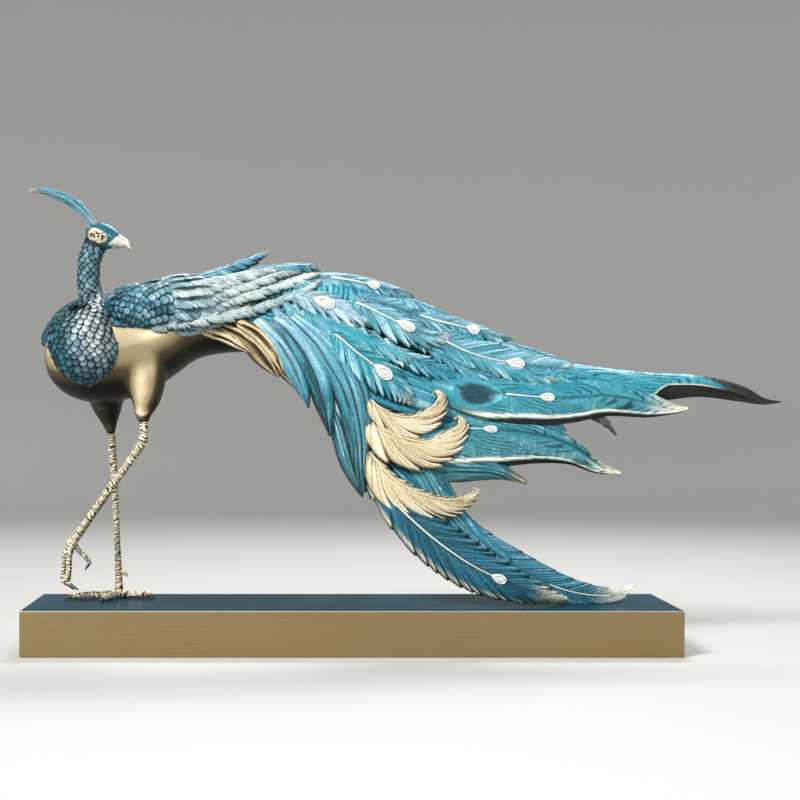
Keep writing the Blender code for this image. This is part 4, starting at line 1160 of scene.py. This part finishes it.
def reachingBack(entry):
    # the long feathers begin further back, under the small ones
    options, form, layer, places = entry
    (column, row, half), (nextColumn, nextRow, nextHalf) = places[:2]
    share = 20 / max(((nextColumn - column) ** 2 + (nextRow - row) ** 2) ** 0.5, 1)
    root = (column - (nextColumn - column) * share, row - (nextRow - row) * share, half)
    return options, form, layer, [root, (column, row, max(half, 0.85 * nextHalf))] + list(places[1:])


def onFarSide(entry):
    # the same feather for the far wing: a little lower, broader and turned to the other side
    options, (tiltRoot, tiltTip, arch, thickness), layer, places = entry
    moved = [(column - (4 if number else 14), row + 9, half * 1.15)
             for number, (column, row, half) in enumerate(places)]
    return options, (180 - tiltRoot, 180 - tiltTip, arch, thickness), 8 - layer, moved


farLong = []
for entry, tone in zip(longFeathers, farTones):
    farLong.append(reachingBack(onFarSide(({"tone": tone}, *entry[1:]))))
nearLong = featherPlaces([reachingBack(entry) for entry in longFeathers] + topFeathers, wingDepth)
farLong = featherPlaces(farLong + [onFarSide(entry) for entry in middleFeathers], farWingDepth)
for name, base, longOnes, side in (
        ("nearWing", body["wing"], nearLong, -1), ("farWing", body["farWing"], farLong, 1)):
    curve = curveThrough(base)
    meshes = [rounded(base, 60, 40, wingBase)]
    meshes += scaleRows(curve, wingScales, wingTone)
    meshes += featherMeshes(covertFeathers(base, side), covertLook, 3.1)
    meshes += featherMeshes(longOnes, wing, 7.7)
    joined(name, meshes, wingPaint)
print("wings made")

# Train
core = {"depth": 0.6, "groove": 0.12, "rise": 0.06}
coreFeathers = [
    ({"kind": "strand", "fade": 0.1}, (35, 25, 5, 13), -12, [
        (222, 312, 20), (270, 318, 34), (330, 332, 50), (400, 362, 56), (460, 385, 50), (520, 396, 40),
        (575, 396, 26), (610, 396, 8),
    ]),
    ({"kind": "strand", "fade": 0.1}, (25, 15, 5, 12), -8, [
        (268, 322, 14), (318, 348, 36), (362, 388, 40), (396, 432, 36), (421, 478, 25), (453, 527, 20),
        (500, 568, 14), (548, 590, 6),
    ]),
]
featherSet("trainCore", core, coreFeathers, trainPaint)
ridge = formPlaces([
    (235, 303, 18, 24, 13), (285, 292, 20, 22, 13), (335, 298, 20, 20, 13), (385, 315, 19, 18, 12),
    (440, 338, 17, 16, 10), (500, 360, 13, 12, 8), (560, 376, 9, 12, 6), (612, 385, 4, 13, 3),
])


def ridgeCarve(a, b, run, points):
    phase = run / (5.0 * mm) - np.abs(np.sin(b * 2 * math.pi)) * 2.2 + 0.4 * wobble(run / mm * 0.1, 3)
    part = phase - np.floor(phase)
    groove = bell(np.minimum(part, 1 - part), 0.16)
    return -groove * 0.6 * mm, {0: 0.7 - 0.55 * groove}


joined("trainRidge", [rounded(ridge, 260, 40, ridgeCarve)], trainPaint)
tops = {"barb": 2.5, "gather": (3, 4, 5), "lean": 1.9, "depth": 1.0, "notch": 3.4, "splitFrom": 0.5,
        "quill": 0.75}
upperFeathers = [
    ({"eye": (0.66, 4.2), "tone": 0.35, "quillAt": 0.32, "quillFrom": 0.3}, (55, 45, 4, 7), -1, [
        (292, 286, 12), (325, 282, 13), (355, 285, 14), (385, 292, 11), (403, 297, 6), (415, 297, 1),
    ]),
    ({"eye": (0.74, 4.6), "tone": 0.3, "quillAt": 0.3, "quillFrom": 0.4, "quillGild": 0.2,
      "eyeGild": 0.2}, (45, 35, 4, 6), 0, [
        (352, 298, 10), (395, 309, 16), (435, 322, 15), (470, 331, 12), (498, 340, 7), (514, 339, 1.2),
    ]),
    ({"eye": (0.56, 5.4), "tone": 0.2, "tip": 0.5, "quillAt": 0.34}, (38, 30, 4, 7), 2, [
        (430, 335, 10), (465, 350, 20), (505, 361, 20), (545, 367, 15), (568, 371, 8), (582, 369, 1),
    ]),
    ({"tip": 0.9, "tone": 0.15, "quill": 0}, (32, 25, 4, 6), 5, [
        (470, 360, 6), (500, 371, 11), (530, 379, 10), (548, 382, 5), (559, 380, 1),
    ]),
    ({"tone": 0.1, "quill": 0}, (30, 25, 4, 6), 3, [
        (300, 315, 14), (340, 333, 18), (375, 347, 15), (405, 360, 9), (416, 370, 1),
    ]),
    ({"tone": 0.3, "quill": 0}, (32, 28, 3, 4), 4, [
        (345, 340, 5), (370, 350, 9), (392, 352, 7), (404, 349, 1),
    ]),
    ({"tone": 0.1, "quill": 0}, (35, 30, 3, 4), 3, [
        (405, 335, 6), (440, 352, 10), (475, 360, 9), (500, 363, 1),
    ]),
    ({"tone": 0.2, "quill": 0}, (50, 40, 3, 4), 3, [
        (395, 300, 5), (420, 308, 8), (440, 316, 7), (455, 322, 1),
    ]),
    ({"tone": 0.3, "tip": 0.4, "quill": 0}, (45, 35, 3, 4), 2, [
        (500, 345, 6), (530, 354, 8), (556, 362, 6), (574, 366, 1),
    ]),
    ({"tone": 0.1, "quill": 0}, (30, 25, 3, 4), 2.5, [
        (372, 342, 6), (405, 358, 12), (440, 372, 12), (470, 383, 1),
    ]),
    ({"tone": 0.15, "quill": 0}, (30, 25, 3, 4), 2.5, [
        (430, 352, 6), (462, 368, 11), (490, 380, 9), (512, 388, 1),
    ]),
]
featherSet("trainTops", tops, upperFeathers, trainPaint)
eyesLook = {"barb": 2.5, "gather": (3, 4, 5), "lean": 1.8, "depth": 1.1, "notch": 3.8, "splitFrom": 0.5,
            "quill": 0.85}
eyeFeathers = [
    ({"eye": (0.4, 6.6), "tone": 0.9, "tip": 0.6, "quill": 0, "quillAt": 0.1, "barb": 3.4, "notch": 6.0,
      "gather": (2, 3)}, (35, 30, 5, 6), 4, [
        (292, 297, 9), (314, 303, 17), (338, 311, 18), (358, 319, 13), (375, 325, 2),
    ]),
    ({"eye": (0.55, 5.6), "tone": 0.3, "tip": 0.9}, (35, 28, 5, 6), 7, [
        (350, 305, 9), (378, 318, 17), (405, 331, 18), (430, 340, 12), (444, 339, 7), (452, 337, 1.5),
    ]),
    ({"eye": (0.62, 6.4), "tone": 0.05, "tip": 0.4}, (28, 20, 5, 9), 5, [
        (330, 335, 12), (356, 357, 20), (382, 376, 21), (402, 393, 14), (413, 405, 2),
    ]),
    ({"tone": 0.6, "quill": 0}, (25, 20, 2, 4), 5, [
        (272, 308, 4), (290, 326, 7), (312, 342, 7), (330, 352, 1),
    ]),
    ({"tone": 0.4, "quill": 0}, (28, 22, 2, 4), 5, [
        (282, 302, 4), (304, 320, 7), (330, 334, 7), (352, 341, 1),
    ]),
    ({"tone": 0.2, "quill": 0}, (30, 25, 2, 4), 5, [
        (300, 318, 4), (325, 335, 8), (352, 347, 8), (378, 352, 1),
    ]),
    ({"tone": 0.1, "quill": 0}, (28, 22, 2, 4), 5, [
        (330, 345, 4), (345, 362, 7), (357, 382, 7), (364, 402, 1),
    ]),
]
sliver = {"tone": 0.7, "kind": "strand", "strands": 2, "tip": 0.4}
# column and row of each sliver's root and tip, over the roots of the eyed feathers
slivers = [
    (276, 306, 300, 334), (284, 304, 312, 340), (293, 303, 322, 335), (300, 309, 334, 346),
    (310, 320, 336, 354), (318, 322, 350, 346), (352, 322, 372, 346), (362, 326, 386, 352),
    (372, 330, 398, 354), (384, 338, 410, 357),
]
for column, row, tipColumn, tipRow in slivers:
    middle = ((column + tipColumn) / 2 - 2, (row + tipRow) / 2 + 2, 4.2)
    eyeFeathers.append((sliver, (25, 18, 1.5, 3), 5.5,
                        [(column, row, 2.5), middle, (tipColumn, tipRow, 0.7)]))
featherSet("trainEyes", eyesLook, eyeFeathers, trainPaint)
tips = {"barb": 3.0, "gather": (3, 5, 7), "lean": 2.2, "depth": 0.7, "notch": 1.0, "splitFrom": 0.5,
        "quill": 0.8}
tipFeathers = [
    ({"edge": 0.3, "tip": 0.0, "darkTip": (0.7, 0.8), "grain": 1, "lip": (0.5, 0.6, 0),
      "hollow": (0.3, 0.3, 14, 3.5), "quill": 0}, (40, -28, 5, 7), -1, [
        (500, 362, 12), (560, 377, 18), (610, 385, 18), (652, 387, 15), (698, 386, 11, -2),
        (738, 393, 8.5, -4), (762, 401, 4, -4), (781, 402, 0.6, -4),
    ]),
    ({"eye": (0.46, 4.6), "edge": 0.6, "tip": 1.0, "lip": (0.1, 0.4, 0.8), "plain": 0.3, "grain": 1,
      "quillFrom": 0.3, "hollow": (0.2, 0.1, 19, 9.5), "sink": 8.0, "sinkOver": 0.16}, (25, 5, 5, 8), 2, [
        (425, 378, 14), (465, 392, 22), (510, 398, 26), (560, 401, 24), (605, 398, 19, 2),
        (648, 405, 13, 4), (672, 408.5, 6, 4), (688, 408, 1.6, 4),
    ]),
    ({"eye": (0.4, 4.2), "edge": 0.6, "tip": 1.0, "lip": (0.1, 0.4, 0.8), "grain": 1, "quillAt": -0.42,
      "quillFrom": 0.26}, (22, 0, 5, 8), 2, [
        (400, 436, 12), (445, 440, 24), (490, 442, 26), (535, 444, 20), (570, 452, 13), (597, 467, 6.5),
        (621, 473, 1.2),
    ]),
    ({"kind": "strand", "strands": 5, "tip": 0.9, "edge": 0.5}, (15, 0, 4, 8), 0, [
        (400, 455, 12), (445, 460, 22), (485, 466, 15), (508, 474, 7), (527, 483, 1.6),
    ]),
    # a small blade painted all over in the dark underside colour, as painted shade
    ({"allUnder": 1, "quill": 0}, (10, 0, 0, 5), -6, [(588, 412, 7), (604, 421, 5), (617, 436, 0.8)]),
    ({"quill": 0, "dim": 0.08}, (20, 10, 0, 8), -3, [
        (515, 415, 20), (545, 426, 16), (562, 434, 8), (568, 438, 3),
    ]),
    ({"tone": 0.05, "quill": 0}, (30, 22, 3, 4), 3, [
        (470, 375, 5), (500, 392, 9), (528, 400, 7), (548, 404, 1),
    ]),
    ({"tone": 0.2, "quill": 0}, (30, 20, 3, 4), 1, [
        (560, 376, 5), (590, 382, 8), (622, 390, 7), (648, 398, 1),
    ]),
]
featherSet("trainTips", tips, tipFeathers, trainPaint)
foot = {"barb": 5.0, "gather": (2, 2, 3), "lean": 2.2, "depth": 1.0, "notch": 4.0, "splitFrom": 0.6,
        "quill": 0.8, "dim": 0.15, "calm": 0.5, "lowerNotch": 0.35}
footFeathers = [
    ({"tip": 1.0, "gather": (4, 5, 6), "notch": 0.6, "tone": 0.0, "dim": 0.05}, (20, 0, -2, 9), -7, [
        (395, 460, 18), (428, 502, 20), (470, 543, 21), (517, 571, 20), (564, 590, 15, 6),
        (600, 596, 10, 14), (622, 593, 6, 18), (634, 584, 1, 19),
    ]),
    ({"eye": (0.7, 4.6), "tip": 1.0, "edge": 0.9}, (10, 0, 5, 8), 1, [
        (370, 478, 8), (398, 508, 19), (434, 540, 25), (474, 567, 25), (516, 586, 18), (548, 596, 9),
        (567, 599, 2),
    ]),
    ({"kind": "strand", "groove": 0.2}, (15, 5, 0, 10), -4, [
        (362, 430, 12), (390, 470, 20), (428, 505, 24), (466, 545, 22), (504, 570, 14),
    ]),
    ({}, (15, 5, 3, 7), -4, [(395, 452, 12), (420, 470, 16), (437, 486, 9), (450, 500, 2)]),
]
featherSet("trainFoot", foot, footFeathers, footPaint)
drape = {"depth": 1.3, "fade": 0.24, "groove": 0.24, "grooveWide": 0.08, "rise": 0.08, "grooveGild": 0.7,
         "edge": 0.5}
drapeFeathers = [
    ({"kind": "strand", "tone": 0.8, "strands": 2}, (15, 0, 3, 7), 0, [
        (254, 320, 8), (275, 341, 10), (292, 366, 10), (303, 389, 7), (309, 408, 0.9),
    ]),
    ({"kind": "strand", "tone": 0.6, "strands": 2}, (15, 0, 3, 8), 3, [
        (272, 318, 8), (298, 343, 12), (316, 374, 13), (325, 405, 10), (330, 436, 1.2),
    ]),
    ({"kind": "strand", "tone": 0.45, "strands": 3}, (15, 0, 4, 9), 4, [
        (290, 317, 9), (320, 345, 13), (342, 378, 15), (354, 412, 14), (359, 445, 11), (360.5, 472, 6),
        (362.5, 494, 1.2),
    ]),
    ({"kind": "strand", "tone": 0.05, "strands": 2}, (18, 5, 3, 7), 5, [
        (310, 328, 7), (338, 354, 11), (358, 385, 10), (367, 415, 7), (369, 444, 1.5),
    ]),
    ({"kind": "strand", "strands": 4}, (10, 0, 2, 7), -3, [
        (326, 398, 6), (337, 428, 8), (346, 459, 8), (356, 484, 4.5), (363, 497, 1),
    ]),
]
featherSet("trainDrapes", drape, drapeFeathers, trainPaint)
back = {"barb": 3.6, "gather": (2, 3, 4), "lean": 1.5, "depth": 1.0, "notch": 3.0, "splitFrom": 0.35,
        "quill": 0.9}
backFeathers = [
    ({"tone": 0.05}, (150, 155, 4, 5), 0, [
        (285, 300, 12), (330, 305, 20), (375, 318, 20), (410, 335, 12), (428, 345, 2),
    ]),
    ({"tone": 0.1}, (155, 160, 4, 5), 0, [
        (290, 335, 14), (330, 360, 22), (365, 392, 20), (388, 420, 11), (396, 438, 2),
    ]),
    ({"tone": 0.15}, (150, 160, 4, 5), 0, [
        (395, 340, 12), (440, 360, 22), (490, 375, 22), (535, 385, 12), (556, 390, 2),
    ]),
    ({"tone": 0.2}, (160, 170, 4, 5), 0, [
        (370, 385, 14), (410, 412, 22), (450, 432, 20), (490, 448, 10), (510, 455, 2),
    ]),
    ({"tone": 0.25}, (160, 170, 4, 5), 0, [
        (320, 395, 10), (352, 440, 17), (385, 490, 18), (420, 530, 11), (440, 550, 2),
    ]),
]
featherSet("trainBack", back, backFeathers, trainPaint, trainBackDepth)
print("train made")

# Gilded feathers
curls = {"barb": 3.2, "gather": (3, 3, 4), "lean": 2.6, "depth": 1.4, "notch": 3.6, "splitFrom": 0.6,
         "calm": 0.85, "quill": 0.6, "dim": 0.02, "quillAt": -0.62, "quillTo": 0.97, "sink": 3.0,
         "sinkOver": 0.12}
curlFeathers = [
    ({}, (20, 10, 3, 5), 9, [
        (360, 394, 4, 9), (378, 413, 9), (398, 422, 10.5), (418, 421.5, 11), (434, 411, 8.5),
        (440.5, 399, 4.5), (437, 392, 2.4), (432, 395, 0.8),
    ]),
    ({}, (18, 8, 3, 5), 10, [
        (360, 416, 6, 9), (379, 435, 13), (400, 445, 14.5), (426, 449, 14), (447, 440, 12),
        (460.5, 427, 6), (459.5, 418, 2.6), (454, 419, 0.8),
    ]),
    ({}, (15, 5, 3, 5), 8, [
        (361, 447, 6, 9), (376, 472, 13), (394, 488, 13.5), (420, 500, 12), (446, 504.5, 9.5),
        (466, 500, 6.5), (476.5, 491, 2.8), (472.5, 488, 0.8),
    ]),
]


def broadened(entry, shares=(0, 0.12, 0.32, 0.32, 0.32, 0.32, 0.1, 0.1)):
    # each place of a curl grows downwards by these shares of its half width
    options, form, layer, places = entry
    broad = []
    for i, (column, row, half, *rest) in enumerate(places):
        (x0, y0), (x1, y1) = places[max(i - 1, 0)][:2], places[min(i + 1, len(places) - 1)][:2]
        length = max(((x1 - x0) ** 2 + (y1 - y0) ** 2) ** 0.5, 1e-6)
        more = half * shares[i]
        down = (column - (y1 - y0) / length * more, row + (x1 - x0) / length * more)
        broad.append((*down, half + more, *rest))
    return options, form, layer, broad


featherSet("goldCurls", curls, [broadened(entry) for entry in curlFeathers], giltPaint)
underLook = {"depth": 1.5, "groove": 0.55, "grooveWide": 0.2, "rise": 0.14}
underFeathers = [
    ({"kind": "strand"}, (-10, -10, 2, 5), 4, [
        (200, 330, 4), (222, 336, 6), (238, 344, 5), (250, 352, 1),
    ]),
    ({"kind": "strand"}, (-5, -5, 3, 6), 2, [
        (220, 326, 5), (245, 338, 9), (263, 358, 9), (279, 377, 1.5),
    ]),
    ({"kind": "strand"}, (0, -5, 3, 6), 6, [
        (236, 322, 5), (258, 334, 8), (274, 353, 8), (284, 374, 1.5),
    ]),
    ({"kind": "strand"}, (0, -5, 2, 5), -2, [(262, 350, 5), (282, 368, 7), (296, 385, 4), (305, 397, 1)]),
]
featherSet("underTail", underLook, underFeathers, giltPaint, middleDepth)
print("gilded feathers made")


# Plinth
# heights in metres over which the painted highlight along the top edge and the dark top set in
plinthLook = {"highlightFrom": (0.0372, 0.0376), "topFrom": (0.0379, 0.03805)}


def makePlinth():
    material = bpy.data.materials.new("plinthMetal")
    material.use_nodes = True
    tree = material.node_tree
    shader = tree.nodes["Principled BSDF"]
    coords = tree.nodes.new("ShaderNodeTexCoord")
    split = tree.nodes.new("ShaderNodeSeparateXYZ")
    tree.links.new(coords.outputs["Object"], split.inputs[0])

    def mapped(source, low, high):
        made = tree.nodes.new("ShaderNodeMapRange")
        made.inputs["From Min"].default_value = low
        made.inputs["From Max"].default_value = high
        tree.links.new(source, made.inputs["Value"])
        return made.outputs[0]

    def noise(scale, stretch):
        scaled = tree.nodes.new("ShaderNodeMapping")
        scaled.inputs["Scale"].default_value = stretch
        tree.links.new(coords.outputs["Object"], scaled.inputs["Vector"])
        made = tree.nodes.new("ShaderNodeTexNoise")
        made.inputs["Scale"].default_value = scale
        made.inputs["Detail"].default_value = 5
        tree.links.new(scaled.outputs[0], made.inputs["Vector"])
        return made.outputs["Fac"]

    def blend(factor, first, second):
        made = tree.nodes.new("ShaderNodeMix")
        made.data_type = "RGBA"
        for slot, value in ((0, factor), (6, first), (7, second)):
            if isinstance(value, tuple):
                made.inputs[slot].default_value = (*value, 1)
            else:
                tree.links.new(value, made.inputs[slot])
        return made.outputs[2]

    onTop = mapped(split.outputs["Z"], *plinthLook["topFrom"])
    paintedHighlight = mapped(split.outputs["Z"], *plinthLook["highlightFrom"])
    brushed = noise(60, (0.6, 0.6, 14))
    cloudy = noise(9, (1, 1, 2))
    brass = blend(brushed, (0.245, 0.165, 0.065), (0.36, 0.26, 0.12))
    brass = blend(mapped(cloudy, 0.35, 0.8), brass, (0.30, 0.23, 0.12))
    top = blend(mapped(cloudy, 0.3, 0.75), (0.004, 0.020, 0.030), (0.010, 0.060, 0.090))
    # a pale band just under the top, all round, painted as the highlight of the edge
    brass = blend(paintedHighlight, brass, (0.86, 0.80, 0.62))
    tree.links.new(blend(onTop, brass, top), shader.inputs["Base Color"])
    shader.inputs["IOR"].default_value = 1.12
    shader.inputs["Specular IOR Level"].default_value = 0.04
    # the sides are metal, the top a smooth dark coat
    for socket, change, onSides in (("Metallic", -0.9, 0.9), ("Roughness", -0.20, 0.40)):
        made = tree.nodes.new("ShaderNodeMath")
        made.operation = "MULTIPLY_ADD"
        tree.links.new(onTop, made.inputs[0])
        made.inputs[1].default_value = change
        made.inputs[2].default_value = onSides
        tree.links.new(made.outputs[0], shader.inputs[socket])
    bump = tree.nodes.new("ShaderNodeBump")
    bump.inputs["Strength"].default_value = 0.12
    bump.inputs["Distance"].default_value = 0.0002
    tree.links.new(brushed, bump.inputs["Height"])
    tree.links.new(bump.outputs[0], shader.inputs["Normal"])
    return material


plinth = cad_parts["plinth"]
plinth.data.materials.clear()
plinth.data.materials.append(makePlinth())

# Floor, light and camera
studio = {
    "floorTone": (0.50, 0.495, 0.48), "floorRough": 0.7,
    # half the floor's width, where it starts to rise, how steeply and how far, in metres
    "floorReach": 5.5, "riseFrom": 2.2, "riseBy": 0.8, "riseTo": 7.0,
    "sky": (0.92, 0.95, 1.0), "skyStrength": 0.22,
    "lamps": [
        # place, aimed at, width, height, power
        ((-1.25, -1.9, 2.0), (0.0, 0, 0.2), 0.8, 0.8, 128),
        ((1.2, -1.2, 0.9), (0.1, 0, 0.2), 0.5, 0.5, 9),
        ((0.3, 1.1, 1.5), (0.05, 0, 0.25), 1.0, 0.5, 26),
    ],
}
floorMesh = bpy.data.meshes.new("floor")
work = bmesh.new()
bmesh.ops.create_grid(work, x_segments=60, y_segments=60, size=studio["floorReach"])
for vert in work.verts:
    # the floor curves up into a plain backdrop all round the statue
    beyond = max(0.0, vert.co.xy.length - studio["riseFrom"])
    vert.co.z = min(beyond * beyond * studio["riseBy"], studio["riseTo"])
for face in work.faces:
    face.smooth = True
work.to_mesh(floorMesh)
work.free()
floor = bpy.data.objects.new("floor", floorMesh)
bpy.context.scene.collection.objects.link(floor)
floorPaint = bpy.data.materials.new("floorPaint")
floorPaint.use_nodes = True
floorShader = floorPaint.node_tree.nodes["Principled BSDF"]
floorShader.inputs["Base Color"].default_value = (*studio["floorTone"], 1)
floorShader.inputs["Roughness"].default_value = studio["floorRough"]
floorMesh.materials.append(floorPaint)

world = bpy.data.worlds.new("studio")
world.use_nodes = True
sky = world.node_tree.nodes["Background"]
sky.inputs["Color"].default_value = (*studio["sky"], 1)
sky.inputs["Strength"].default_value = studio["skyStrength"]
bpy.context.scene.world = world
for number, (place, aim, width, height, power) in enumerate(studio["lamps"]):
    lamp = bpy.data.lights.new(f"lamp{number}", "AREA")
    lamp.shape = "RECTANGLE"
    lamp.size, lamp.size_y, lamp.energy = width, height, power
    holder = bpy.data.objects.new(f"lamp{number}", lamp)
    holder.location = place
    holder.rotation_euler = (Vector(aim) - Vector(place)).to_track_quat("-Z", "Y").to_euler()
    bpy.context.scene.collection.objects.link(holder)

lens = {"sensor": 36, "length": 88.2, "shift": (0.125, 0.015), "place": (-0.0423, -1.671, 0.2002)}
cameraData = bpy.data.cameras.new("camera")
cameraData.sensor_width = lens["sensor"]
cameraData.lens = lens["length"]
cameraData.shift_x, cameraData.shift_y = lens["shift"]
camera = bpy.data.objects.new("camera", cameraData)
camera.location = lens["place"]
camera.rotation_euler = (math.pi / 2, 0, 0)
bpy.context.scene.collection.objects.link(camera)
bpy.context.scene.camera = camera
bpy.context.scene.view_settings.view_transform = "Standard"
